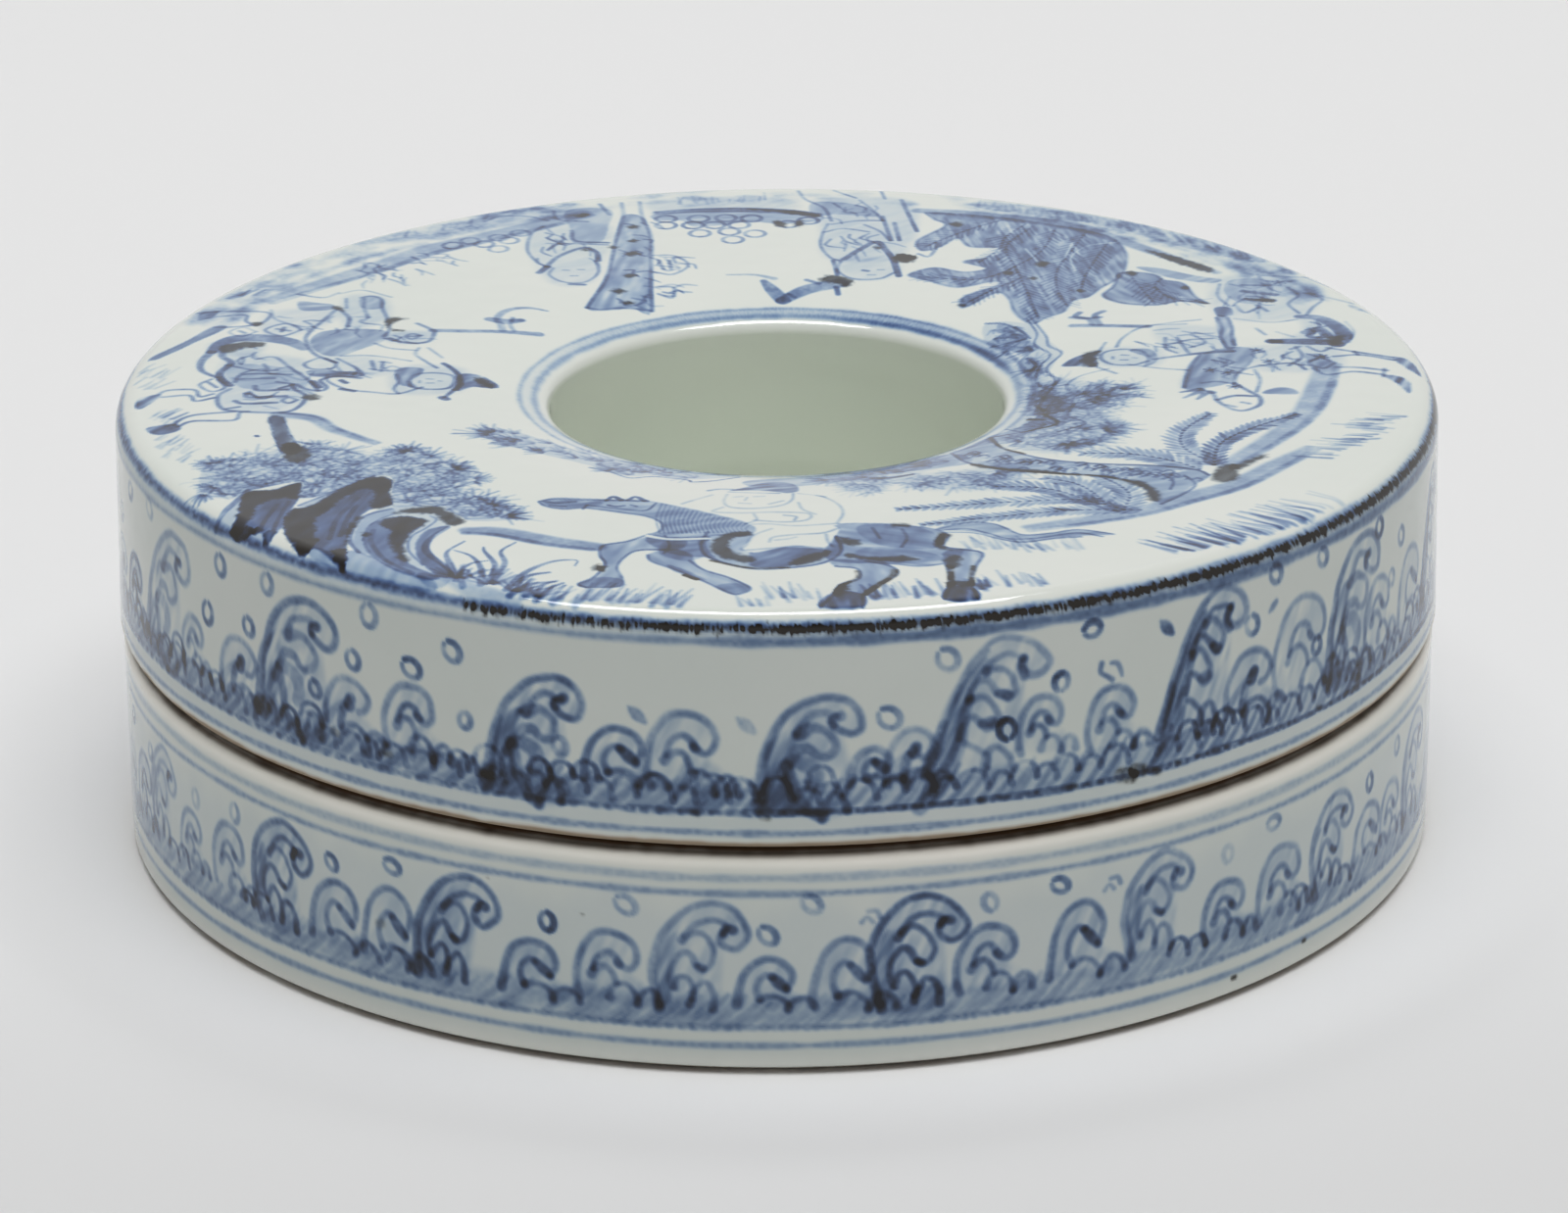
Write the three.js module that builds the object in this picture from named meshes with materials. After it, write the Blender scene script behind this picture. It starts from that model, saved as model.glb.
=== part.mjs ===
// A ring-shaped porcelain box: a base with an annular trough, and a lid that drops over its two lips.
// Millimetres, +Z up. The origin is the middle of the underside, on the surface that the box stands on.

import * as THREE from 'three';
import { mergeVertices } from 'three/addons/utils/BufferGeometryUtils.js';

// Driving dimensions: the outside
const LID_RADIUS = 105; // lid's outer radius at its lower edge
const LID_LEAN = 0.6; // how far the lid's wall draws in on its way up to the shoulder
const BASE_INSET = 0.4; // base's wall stands this far inside the lid's lower edge
const HOLE_RADIUS = 37.4; // round hole through both pieces
const TOTAL_HEIGHT = 72; // underside to the lid's top
const SEAT_HEIGHT = 35.5; // plane on which the lid rests on the base
const SHOULDER_RADIUS = 4; // rounding between the lid's wall and its top
const HOLE_ROUNDING = 7.6; // rounding between the lid's top and the hole

// Driving dimensions: wall thicknesses
const LID_WALL = 4.2;
const LID_TUBE_WALL = 4.4; // lid's wall round the hole
const LID_TOP = 6;
const BASE_FLOOR = 5.7; // from the recessed underside to the floor of the trough
const INSIDE_FILLET = 4; // rounding in the corners of the trough and of the lid's hollow

// Driving dimensions: the joint between lid and base
const LIP_HEIGHT = 6.5; // base's lips above the seat
const LIP_THICKNESS = 2.8;
const LIP_CLEARANCE = 0.7; // between a lip and the lid's wall that it stands behind
const LIP_ROUNDING = 0.9;
const SEAT_WIDTH = 1.5; // flat ring on which the lid's rims rest
const RIM_RISE = 1; // lid's rim curls up this much towards its visible edge
const RIM_DROP = 0.9; // base's rim falls this much towards its visible edge
const RIM_ROUNDING = 1.1; // base's visible edge is this round

// Driving dimensions: the underside
const FOOT_CHAMFER = 2.6; // foot rings stand this far in from the base's walls
const FOOT_CHAMFER_RISE = 1.2;
const FOOT_WIDTH = 5; // unglazed ring that touches the ground
const UNDERSIDE_RECESS = 1.8; // glazed underside stands this far clear of the ground
const RECESS_SLOPE = 1.4;

// Facets
const SEGMENTS = 64; // round the axis
const ARC_STEPS = 4; // along a quarter of a wide rounding
const EDGE_STEPS = 2; // along a quarter of a small rounding on a rim or lip

// Points of a quarter arc about (r, z), from one angle in degrees to another, ends included.
function arc(r, z, radius, from, to, steps = ARC_STEPS) {
  const points = [];
  for (let step = 0; step <= steps; step += 1) {
    const angle = THREE.MathUtils.degToRad(from + ((to - from) * step) / steps);
    points.push(new THREE.Vector2(r + radius * Math.cos(angle), z + radius * Math.sin(angle)));
  }
  return points;
}

function point(r, z) {
  return new THREE.Vector2(r, z);
}

// Turns a closed profile, listed anticlockwise in (radius, height), about the Z axis.
function turned(profile) {
  const lathe = new THREE.LatheGeometry([...profile, profile[0].clone()], SEGMENTS);
  lathe.deleteAttribute('normal');
  lathe.deleteAttribute('uv');
  const closed = mergeVertices(lathe);
  closed.rotateX(Math.PI / 2);
  closed.computeVertexNormals();
  return closed;
}

function porcelain(name, geometry, colour) {
  const material = new THREE.MeshStandardMaterial({ color: colour, roughness: 0.18, metalness: 0 });
  const mesh = new THREE.Mesh(geometry, material);
  mesh.name = name;
  return mesh;
}

// Radii that both pieces share: the lid's walls, and the lips that stand behind them.
const lidInside = LID_RADIUS - LID_WALL;
const lidTubeOutside = HOLE_RADIUS + LID_TUBE_WALL;
const outerLipOutside = lidInside - LIP_CLEARANCE;
const outerLipInside = outerLipOutside - LIP_THICKNESS;
const innerLipInside = lidTubeOutside + LIP_CLEARANCE;
const innerLipOutside = innerLipInside + LIP_THICKNESS;
const outerSeatEdge = lidInside + SEAT_WIDTH;
const innerSeatEdge = lidTubeOutside - SEAT_WIDTH;

function lid() {
  const shoulder = LID_RADIUS - LID_LEAN - SHOULDER_RADIUS;
  const holeBrow = HOLE_RADIUS + HOLE_ROUNDING;
  const ceiling = TOTAL_HEIGHT - LID_TOP;
  const edge = SEAT_HEIGHT + RIM_RISE;
  return turned([
    point(LID_RADIUS, edge),
    ...arc(shoulder, TOTAL_HEIGHT - SHOULDER_RADIUS, SHOULDER_RADIUS, 0, 90),
    ...arc(holeBrow, TOTAL_HEIGHT - HOLE_ROUNDING, HOLE_ROUNDING, 90, 180),
    point(HOLE_RADIUS, edge),
    point(innerSeatEdge, SEAT_HEIGHT),
    point(lidTubeOutside, SEAT_HEIGHT),
    ...arc(lidTubeOutside + INSIDE_FILLET, ceiling - INSIDE_FILLET, INSIDE_FILLET, 180, 90),
    ...arc(lidInside - INSIDE_FILLET, ceiling - INSIDE_FILLET, INSIDE_FILLET, 90, 0),
    point(lidInside, SEAT_HEIGHT),
    point(outerSeatEdge, SEAT_HEIGHT),
  ]);
}

// Round top of a lip between two radii, from its outer face to its inner one.
function lipTop(outside, inside) {
  const height = SEAT_HEIGHT + LIP_HEIGHT - LIP_ROUNDING;
  return [
    ...arc(outside - LIP_ROUNDING, height, LIP_ROUNDING, 0, 90, EDGE_STEPS),
    ...arc(inside + LIP_ROUNDING, height, LIP_ROUNDING, 90, 180, EDGE_STEPS),
  ];
}

function base() {
  const wall = LID_RADIUS - BASE_INSET;
  const rim = SEAT_HEIGHT - RIM_DROP - RIM_ROUNDING;
  const floor = UNDERSIDE_RECESS + BASE_FLOOR;
  const outerFoot = wall - FOOT_CHAMFER;
  const innerFoot = HOLE_RADIUS + FOOT_CHAMFER;
  const outerRecess = outerFoot - FOOT_WIDTH;
  const innerRecess = innerFoot + FOOT_WIDTH;
  return turned([
    point(outerFoot, 0),
    point(wall, FOOT_CHAMFER_RISE),
    ...arc(wall - RIM_ROUNDING, rim, RIM_ROUNDING, 0, 90, EDGE_STEPS),
    point(outerSeatEdge, SEAT_HEIGHT),
    point(outerLipOutside, SEAT_HEIGHT),
    ...lipTop(outerLipOutside, outerLipInside),
    ...arc(outerLipInside - INSIDE_FILLET, floor + INSIDE_FILLET, INSIDE_FILLET, 0, -90),
    ...arc(innerLipOutside + INSIDE_FILLET, floor + INSIDE_FILLET, INSIDE_FILLET, -90, -180),
    ...lipTop(innerLipOutside, innerLipInside),
    point(innerLipInside, SEAT_HEIGHT),
    point(innerSeatEdge, SEAT_HEIGHT),
    ...arc(HOLE_RADIUS + RIM_ROUNDING, rim, RIM_ROUNDING, 90, 180, EDGE_STEPS),
    point(HOLE_RADIUS, FOOT_CHAMFER_RISE),
    point(innerFoot, 0),
    point(innerRecess, 0),
    point(innerRecess + RECESS_SLOPE, UNDERSIDE_RECESS),
    point(outerRecess - RECESS_SLOPE, UNDERSIDE_RECESS),
    point(outerRecess, 0),
  ]);
}

const box = new THREE.Group();
box.add(porcelain('lid', lid(), 0xdbe2df));
box.add(porcelain('base', base(), 0xd3d9d2));

export default box;
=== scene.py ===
# %% [markdown]
# # A ring-shaped porcelain box, painted in underglaze blue
# The real box is two fired pieces: a base with a ring-shaped trough, and a lid that drops over its lips.
# Both are bodies of revolution, so their shapes are profiles carried round a circle. What makes the box
# is its painting: cobalt brushed on the raw clay, under a glossy glaze. The painting could be an image,
# but here every brush stroke is worked out on the surface itself, so this script needs nothing but the
# frame.

# %% Load the frame
import math

import bpy
import numpy as np
from mathutils import Matrix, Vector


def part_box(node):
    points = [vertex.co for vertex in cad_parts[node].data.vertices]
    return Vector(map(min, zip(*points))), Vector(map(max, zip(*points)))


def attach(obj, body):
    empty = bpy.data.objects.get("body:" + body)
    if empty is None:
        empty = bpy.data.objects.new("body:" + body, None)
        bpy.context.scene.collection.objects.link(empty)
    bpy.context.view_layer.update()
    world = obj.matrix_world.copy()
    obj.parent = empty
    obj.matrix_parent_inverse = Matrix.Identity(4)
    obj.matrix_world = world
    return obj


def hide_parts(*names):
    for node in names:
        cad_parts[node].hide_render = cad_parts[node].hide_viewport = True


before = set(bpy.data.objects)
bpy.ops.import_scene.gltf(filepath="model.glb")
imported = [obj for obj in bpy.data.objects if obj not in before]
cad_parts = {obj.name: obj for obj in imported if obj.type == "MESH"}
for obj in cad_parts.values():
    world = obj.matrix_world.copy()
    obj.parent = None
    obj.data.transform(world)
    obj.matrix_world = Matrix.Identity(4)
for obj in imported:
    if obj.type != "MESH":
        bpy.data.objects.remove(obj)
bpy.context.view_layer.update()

MM = 0.001
lid_low, lid_high = (np.array(corner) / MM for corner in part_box("lid"))
base_high = np.array(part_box("base")[1]) / MM
LID_RADIUS = float(lid_high[0])
BASE_RADIUS = float(base_high[0])
TOP_HEIGHT = float(lid_high[2])
SEAT_HEIGHT = float(lid_low[2])
LIP_TOP = float(base_high[2])
print(f"lid {2 * LID_RADIUS:.1f} mm across, box {TOP_HEIGHT:.1f} mm high, seat at {SEAT_HEIGHT:.1f} mm")

# %% [markdown]
# ## The camera
# The photograph looks down at the box from a little above its front. The place and the lens were found by
# fitting the rims, the seam and the foot of the box to their outlines in the photograph, so they are
# plain numbers here. A small tilt about the line of sight levels the picture as the photograph is.

# %% Camera
CAMERA_PLACE = (0.0, -0.8889, 0.3780)
CAMERA_LENS = 136.15
SENSOR_WIDTH = 36.0
LOOK_DOWN = math.radians(21.206)
LOOK_RIGHT = math.radians(0.060)
PICTURE_TILT = math.radians(-0.392)


def camera_axes(down, right, tilt):
    """Columns right, up and back: the line of sight is turned right and down, then the picture is tilted."""
    ahead = np.array((math.sin(right) * math.cos(down), math.cos(right) * math.cos(down), -math.sin(down)))
    side = np.array((math.cos(right), -math.sin(right), 0.0))
    above = np.cross(side, ahead)
    turned_side = math.cos(tilt) * side + math.sin(tilt) * above
    turned_above = math.cos(tilt) * above - math.sin(tilt) * side
    return np.column_stack((turned_side, turned_above, -ahead))


camera_data = bpy.data.cameras.new("photo_camera")
camera_data.lens = CAMERA_LENS
camera_data.sensor_width = SENSOR_WIDTH
camera = bpy.data.objects.new("photo_camera", camera_data)
bpy.context.scene.collection.objects.link(camera)
camera_turn = Matrix(camera_axes(LOOK_DOWN, LOOK_RIGHT, PICTURE_TILT).tolist()).to_4x4()
camera.matrix_world = Matrix.Translation(CAMERA_PLACE) @ camera_turn
bpy.context.scene.camera = camera
print("camera at", CAMERA_PLACE, "with a", CAMERA_LENS, "mm lens")

# %% [markdown]
# ## The studio
# The box stands on a pale grey sweep under soft light from above. A glossy glaze shows its surroundings,
# so the world that it mirrors is pale, and darker towards the ceiling. A softbox hangs overhead, as two
# lamps: one lights the box, and the other only glints, in the thin bright line along the front shoulder
# and on the far rim of the hole. The floor is a wide disc. Its colour darkens towards the front, as
# painted shade, and is paler round the foot, as painted light in place of what the white box throws
# back on it; that pale ring shows only to the camera's rays and to those that gloss or glass sends on.

# %% The floor's disc
FLOOR_RADIUS = 6.0
FLOOR_RINGS = 6
FLOOR_SPOKES = 64


def disc_mesh(name, radius, rings, spokes):
    """A flat disc: points at equal steps of radius and angle, joined by quads, with a fan at the middle."""
    turn = np.linspace(0.0, 2.0 * np.pi, spokes, endpoint=False)
    reach = radius * np.linspace(0.0, 1.0, rings + 1)[1:]
    ring_points = np.stack((np.outer(reach, np.cos(turn)), np.outer(reach, np.sin(turn))), -1).reshape(-1, 2)
    points = np.vstack((np.zeros((1, 2)), ring_points))
    points = np.column_stack((points, np.zeros(len(points))))
    spoke = np.arange(spokes)
    after = (spoke + 1) % spokes
    fan = [(0, 1 + a, 1 + b) for a, b in zip(spoke, after)]
    quads = []
    for ring in range(rings - 1):
        inner = 1 + ring * spokes
        outer = inner + spokes
        quads += np.column_stack((inner + spoke, outer + spoke, outer + after, inner + after)).tolist()
    mesh = bpy.data.meshes.new(name)
    mesh.from_pydata(points.tolist(), [], fan + quads)
    return mesh


floor_mesh = disc_mesh("floor", FLOOR_RADIUS, FLOOR_RINGS, FLOOR_SPOKES)
print("floor of", len(floor_mesh.polygons), "faces")

# %% Helpers for materials
def principled(name):
    """A new material, with its nodes, its links and its Principled shader."""
    material = bpy.data.materials.new(name)
    material.use_nodes = True
    tree = material.node_tree
    return material, tree, tree.nodes["Principled BSDF"]


def add_node(nodes, kind, **settings):
    """A shader node with some of its settings changed."""
    node = nodes.new(kind)
    for name, value in settings.items():
        setattr(node, name, value)
    return node


def mixed(tree, blend, factor, first, second):
    """A colour mix: factor, first and second are each an output socket or a constant."""
    mix = add_node(tree.nodes, "ShaderNodeMix", data_type="RGBA", blend_type=blend)
    for place, value in ((0, factor), (6, first), (7, second)):
        if isinstance(value, bpy.types.NodeSocket):
            tree.links.new(value, mix.inputs[place])
        else:
            mix.inputs[place].default_value = value
    return mix.outputs[2]


def combined(tree, operation, first, second):
    """Two values put together by one Math node."""
    node = add_node(tree.nodes, "ShaderNodeMath", operation=operation)
    tree.links.new(first, node.inputs[0])
    tree.links.new(second, node.inputs[1])
    return node.outputs[0]


def ranged(tree, value, span, ends=(0.0, 1.0), way="SMOOTHSTEP"):
    """A value that goes from the first end to the second while another one crosses a span."""
    node = add_node(tree.nodes, "ShaderNodeMapRange", interpolation_type=way)
    for side, (low, high) in (("From", span), ("To", ends)):
        node.inputs[f"{side} Min"].default_value = low
        node.inputs[f"{side} Max"].default_value = high
    tree.links.new(value, node.inputs["Value"])
    return node.outputs[0]


def seen_rays(tree):
    """One for rays that show the surroundings: the camera's, and those that gloss or glass sends on."""
    ray = tree.nodes.new("ShaderNodeLightPath")
    seen = ray.outputs["Is Camera Ray"]
    for kind in ("Is Glossy Ray", "Is Transmission Ray"):
        seen = combined(tree, "MAXIMUM", seen, ray.outputs[kind])
    return seen


print("helpers for materials are ready")

# %% Floor
FLOOR_ROUGHNESS = 0.85
FLOOR_GLOSS = 0.2
FLOOR_TONE = (0.755, 0.755, 0.755, 1.0)
# Painted shade: the floor's colour darkens towards the front.
FLOOR_SHADED_FRONT_TONE = (0.665, 0.665, 0.665, 1.0)
FLOOR_FALL = (-0.16, 0.04)
# Painted light: a paler ring of floor round the foot, weaker towards the front.
FLOOR_BOUNCE_LIGHT_TONE = (0.95, 0.95, 0.95, 1.0)
FLOOR_BOUNCE_LIGHT_REACH = (0.104, 0.131)
FLOOR_BOUNCE_LIGHT_FRONT = 0.45
floor_material, floor_tree, floor_shader = principled("pale_sweep")
floor_place = floor_tree.nodes.new("ShaderNodeTexCoord").outputs["Object"]
floor_axes = floor_tree.nodes.new("ShaderNodeSeparateXYZ")
floor_tree.links.new(floor_place, floor_axes.inputs[0])
floor_reach = add_node(floor_tree.nodes, "ShaderNodeVectorMath", operation="LENGTH")
floor_tree.links.new(floor_place, floor_reach.inputs[0])
floor_back = floor_axes.outputs["Y"]
# Painted shade: the floor's colour goes from the paler back to the darker front.
floor_front_shade = mixed(floor_tree, "MIX", ranged(floor_tree, floor_back, FLOOR_FALL), FLOOR_SHADED_FRONT_TONE, FLOOR_TONE)
# Painted light: the floor turns paler round the foot, for rays that show the surroundings.
floor_ring = ranged(floor_tree, floor_reach.outputs["Value"], FLOOR_BOUNCE_LIGHT_REACH, (1.0, 0.0))
floor_side = ranged(floor_tree, floor_back, FLOOR_FALL, (1.0, FLOOR_BOUNCE_LIGHT_FRONT))
floor_near = combined(floor_tree, "MULTIPLY", floor_ring, floor_side)
floor_bounce_light = combined(floor_tree, "MULTIPLY", floor_near, seen_rays(floor_tree))
floor_colour = mixed(floor_tree, "MIX", floor_bounce_light, floor_front_shade, FLOOR_BOUNCE_LIGHT_TONE)
floor_tree.links.new(floor_colour, floor_shader.inputs["Base Color"])
floor_shader.inputs["Roughness"].default_value = FLOOR_ROUGHNESS
floor_shader.inputs["Specular IOR Level"].default_value = FLOOR_GLOSS
floor = bpy.data.objects.new("floor", floor_mesh)
floor.data.materials.append(floor_material)
bpy.context.scene.collection.objects.link(floor)
print("floor", 2.0 * FLOOR_RADIUS, "m across")

# %% World
WORLD_TONE = (1.0, 1.0, 1.0, 1.0)
WORLD_STRENGTH = 0.22
BACKDROP_TONE = (0.76, 0.76, 0.76, 1.0)
CEILING_RISE = (0.62, 0.84)
CEILING_SHARE = 0.12
world = bpy.data.worlds.new("studio")
bpy.context.scene.world = world
world.use_nodes = True
world_nodes = world.node_tree.nodes
world_links = world.node_tree.links
surround = world_nodes["Background"]
surround.inputs["Color"].default_value = WORLD_TONE
surround.inputs["Strength"].default_value = WORLD_STRENGTH
backdrop = world_nodes.new("ShaderNodeBackground")
backdrop.inputs["Color"].default_value = BACKDROP_TONE
towards = world_nodes.new("ShaderNodeTexCoord")
towards_split = world_nodes.new("ShaderNodeSeparateXYZ")
world_links.new(towards.outputs["Generated"], towards_split.inputs[0])
ceiling = ranged(world.node_tree, towards_split.outputs["Z"], CEILING_RISE, (1.0, CEILING_SHARE), "LINEAR")
world_links.new(ceiling, backdrop.inputs["Strength"])
world_mix = world_nodes.new("ShaderNodeMixShader")
world_links.new(seen_rays(world.node_tree), world_mix.inputs[0])
world_links.new(surround.outputs[0], world_mix.inputs[1])
world_links.new(backdrop.outputs[0], world_mix.inputs[2])
world_links.new(world_mix.outputs[0], world_nodes["World Output"].inputs["Surface"])
print("world of strength", WORLD_STRENGTH)

# %% Lamps
SOFTBOX_PLACE = (0.0, 0.32, 1.25)
SOFTBOX_SIZE = (0.70, 0.34)
SOFTBOX_POWER = 2.9
GLARE_POWER = 10.5
GLARE_DROP = 0.02
OVERHEAD_STRENGTH = 2.05
OVERHEAD_WIDTH = math.radians(52.0)
OVERHEAD_TURN = (math.radians(11.5), math.radians(4.0), 0.0)


def softbox(name, power, drop=0.0):
    """A lamp of the softbox's size, at its place or a little below it."""
    data = bpy.data.lights.new(name, "AREA")
    data.shape = "RECTANGLE"
    data.size, data.size_y = SOFTBOX_SIZE
    data.energy = power
    lamp = bpy.data.objects.new(name, data)
    lamp.location = SOFTBOX_PLACE
    lamp.location.z -= drop
    bpy.context.scene.collection.objects.link(lamp)
    return lamp


softbox("softbox", SOFTBOX_POWER).visible_glossy = False
softbox("softbox_glare", GLARE_POWER, GLARE_DROP).visible_diffuse = False

overhead_data = bpy.data.lights.new("overhead", "SUN")
overhead_data.energy = OVERHEAD_STRENGTH
overhead_data.angle = OVERHEAD_WIDTH
overhead = bpy.data.objects.new("overhead", overhead_data)
overhead.rotation_euler = OVERHEAD_TURN
overhead.visible_glossy = False
bpy.context.scene.collection.objects.link(overhead)
bpy.context.scene.view_settings.view_transform = "Standard"
print("two softbox lamps and an overhead one are set")

# %% [markdown]
# ## Profiles of the two pieces
# A thrower's template is a profile: a line in (radius, height). Each piece here has one closed profile,
# made of straight runs and arcs and listed clockwise, so that its faces point outwards when it is carried
# round. The painted stretch gets close rows, about a third of a millimetre apart, because the brush
# strokes are stored on its points. The rest, which carries no painting, gets wider rows.

# %% Profile runs
PAINTED_STEP = 0.325
PLAIN_STEP = 2.4
EDGE_STEP = 0.35
RIM_STEP = 0.22
FINE_STEP = 0.2
HOLE_RADIUS = 37.4
SHOULDER_RADIUS = 4.0
LID_LEAN = 0.6
DISH_RADIUS = 100.0
BROW_SLOPE = 12.0
BROW_RADIUS = 10.0
RIM_SLOPE = 28.0
RIM_RADIUS = 2.0
RIM_REACH = 36.0
TUBE_FLARE = 8.0


def run(start, stop, step):
    """Points on a straight line from start to stop, evenly spaced, about step apart; the stop is left out."""
    start, stop = np.array(start, float), np.array(stop, float)
    count = max(1, round(float(np.linalg.norm(stop - start)) / step))
    share = np.arange(count)[:, None] / count
    return start + share * (stop - start)


def arc(centre, radius, start, stop, step):
    """Points on a circle about centre, from one angle to another in degrees; the last point is left out."""
    sweep = math.radians(stop - start)
    count = max(2, round(abs(sweep) * radius / step))
    angle = math.radians(start) + sweep * np.arange(count) / count
    return np.array(centre, float) + radius * np.column_stack((np.cos(angle), np.sin(angle)))


def lengths(profile):
    """Distance along a profile from its first point to each point."""
    return np.concatenate(([0.0], np.cumsum(np.linalg.norm(np.diff(profile, axis=0), axis=1))))


shoulder_r = LID_RADIUS - LID_LEAN - SHOULDER_RADIUS
shoulder_z = TOP_HEIGHT - SHOULDER_RADIUS


def facing(slope):
    """The way that a surface faces where it slopes down to the hole by an angle in degrees."""
    return np.array((-math.sin(math.radians(slope)), math.cos(math.radians(slope))))


brow_off = (DISH_RADIUS - BROW_RADIUS) * facing(BROW_SLOPE)
rim_off = brow_off + (BROW_RADIUS - RIM_RADIUS) * facing(RIM_SLOPE)
dish_centre = np.array((RIM_REACH + RIM_RADIUS - rim_off[0], TOP_HEIGHT - DISH_RADIUS))
rim_centre = dish_centre + rim_off
brow_r = dish_centre[0]
LID_EDGE_ROUNDING = 0.75
LID_EDGE_TURN = -75
LID_EDGE_RISE = 1.0
LID_EDGE = SEAT_HEIGHT + LID_EDGE_RISE + LID_EDGE_ROUNDING
lid_painted = np.vstack((
    arc(rim_centre, RIM_RADIUS, 180, 90 + RIM_SLOPE, RIM_STEP),
    arc(dish_centre + brow_off, BROW_RADIUS, 90 + RIM_SLOPE, 90 + BROW_SLOPE, PAINTED_STEP),
    arc(dish_centre, DISH_RADIUS, 90 + BROW_SLOPE, 90, PAINTED_STEP),
    run((brow_r, TOP_HEIGHT), (shoulder_r, TOP_HEIGHT), PAINTED_STEP),
    arc((shoulder_r, shoulder_z), SHOULDER_RADIUS, 90, 0, PAINTED_STEP),
    run((shoulder_r + SHOULDER_RADIUS, shoulder_z), (LID_RADIUS, LID_EDGE), PAINTED_STEP),
    arc((LID_RADIUS - LID_EDGE_ROUNDING, LID_EDGE), LID_EDGE_ROUNDING, 0, LID_EDGE_TURN, FINE_STEP),
))
print("the lid's painted run has", len(lid_painted), "rows over", round(lengths(lid_painted)[-1], 1), "mm")

# %% [markdown]
# Inside, the lid is plain: its rims rest on the base, and its hollow has rounded corners. On the base the
# two lips stand up behind the lid's walls. These inner sizes repeat those of the solid model.

# %% Plain runs of the lid
SEAT_STEP = 0.5
FILLET_STEP = 1.0
TUBE_STEP = 0.3
LID_WALL = 4.2
LID_TUBE_WALL = 4.4
LID_TOP = 6.0
SEAT_WIDTH = 1.5
INSIDE_FILLET = 4.0
LIP_CLEARANCE = 0.7
LIP_THICKNESS = 2.8
LIP_ROUNDING = 1.1
lid_inside = LID_RADIUS - LID_WALL
tube_outside = HOLE_RADIUS + LID_TUBE_WALL
hollow_top = TOP_HEIGHT - LID_TOP - INSIDE_FILLET
hollow_in = tube_outside + INSIDE_FILLET
hollow_out = lid_inside - INSIDE_FILLET
RIM_BEVEL = 1.6
RIM_LIFT = 0.9
TUBE_ROUNDING = 0.8
TUBE_EDGE = SEAT_HEIGHT + 1.7
rim_under = (LID_RADIUS - RIM_BEVEL, SEAT_HEIGHT + RIM_LIFT)
tube_seat = (tube_outside - SEAT_WIDTH, SEAT_HEIGHT)
lid_plain = np.vstack((
    run((LID_RADIUS - LID_EDGE_ROUNDING, LID_EDGE - LID_EDGE_ROUNDING), rim_under, EDGE_STEP),
    run(rim_under, (lid_inside + SEAT_WIDTH, SEAT_HEIGHT), EDGE_STEP),
    run((lid_inside + SEAT_WIDTH, SEAT_HEIGHT), (lid_inside, SEAT_HEIGHT), SEAT_STEP),
    run((lid_inside, SEAT_HEIGHT), (lid_inside, hollow_top), PLAIN_STEP),
    arc((hollow_out, hollow_top), INSIDE_FILLET, 0, 90, FILLET_STEP),
    run((hollow_out, hollow_top + INSIDE_FILLET), (hollow_in, hollow_top + INSIDE_FILLET), PLAIN_STEP),
    arc((hollow_in, hollow_top), INSIDE_FILLET, 90, 180, FILLET_STEP),
    run((tube_outside, hollow_top), (tube_outside, SEAT_HEIGHT), PLAIN_STEP),
    run((tube_outside, SEAT_HEIGHT), tube_seat, SEAT_STEP),
    run(tube_seat, (HOLE_RADIUS + TUBE_ROUNDING, SEAT_HEIGHT + RIM_LIFT), EDGE_STEP),
    arc((HOLE_RADIUS + TUBE_ROUNDING, TUBE_EDGE), TUBE_ROUNDING, 270, 180, TUBE_STEP),
    run((HOLE_RADIUS, TUBE_EDGE), (RIM_REACH, SEAT_HEIGHT + TUBE_FLARE), PLAIN_STEP),
    run((RIM_REACH, SEAT_HEIGHT + TUBE_FLARE), (RIM_REACH, rim_centre[1]), PLAIN_STEP),
))
print("plain rows on the lid:", len(lid_plain))

# %% Runs of the base
BASE_EDGE_ROUNDING = 1.8
BASE_RIM_DROP = 0.6
BASE_EDGE = SEAT_HEIGHT - BASE_RIM_DROP - BASE_EDGE_ROUNDING
FOOT_CHAMFER = 2.6
FOOT_RISE = 1.2
FOOT_ROUNDING = 0.5
FOOT_TURN = (0.25, 0.07)
FOOT_STEP = 0.6
BEVEL_STEP = 0.75
LIP_STEP = 0.4
FOOT_WIDTH = 5.0
RECESS = 1.8
RECESS_SLOPE = 1.4
TROUGH_FLOOR = 7.5
lip_out = lid_inside - LIP_CLEARANCE
lip_in = lip_out - LIP_THICKNESS
tube_lip_in = tube_outside + LIP_CLEARANCE
tube_lip_out = tube_lip_in + LIP_THICKNESS
trough_z = TROUGH_FLOOR + INSIDE_FILLET
lip_z = LIP_TOP - LIP_ROUNDING
edge_r = BASE_RADIUS - BASE_EDGE_ROUNDING
foot_out = BASE_RADIUS - FOOT_CHAMFER
foot_in = HOLE_RADIUS + FOOT_CHAMFER
recess_out = foot_out - FOOT_WIDTH - RECESS_SLOPE
recess_in = foot_in + FOOT_WIDTH + RECESS_SLOPE
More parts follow.
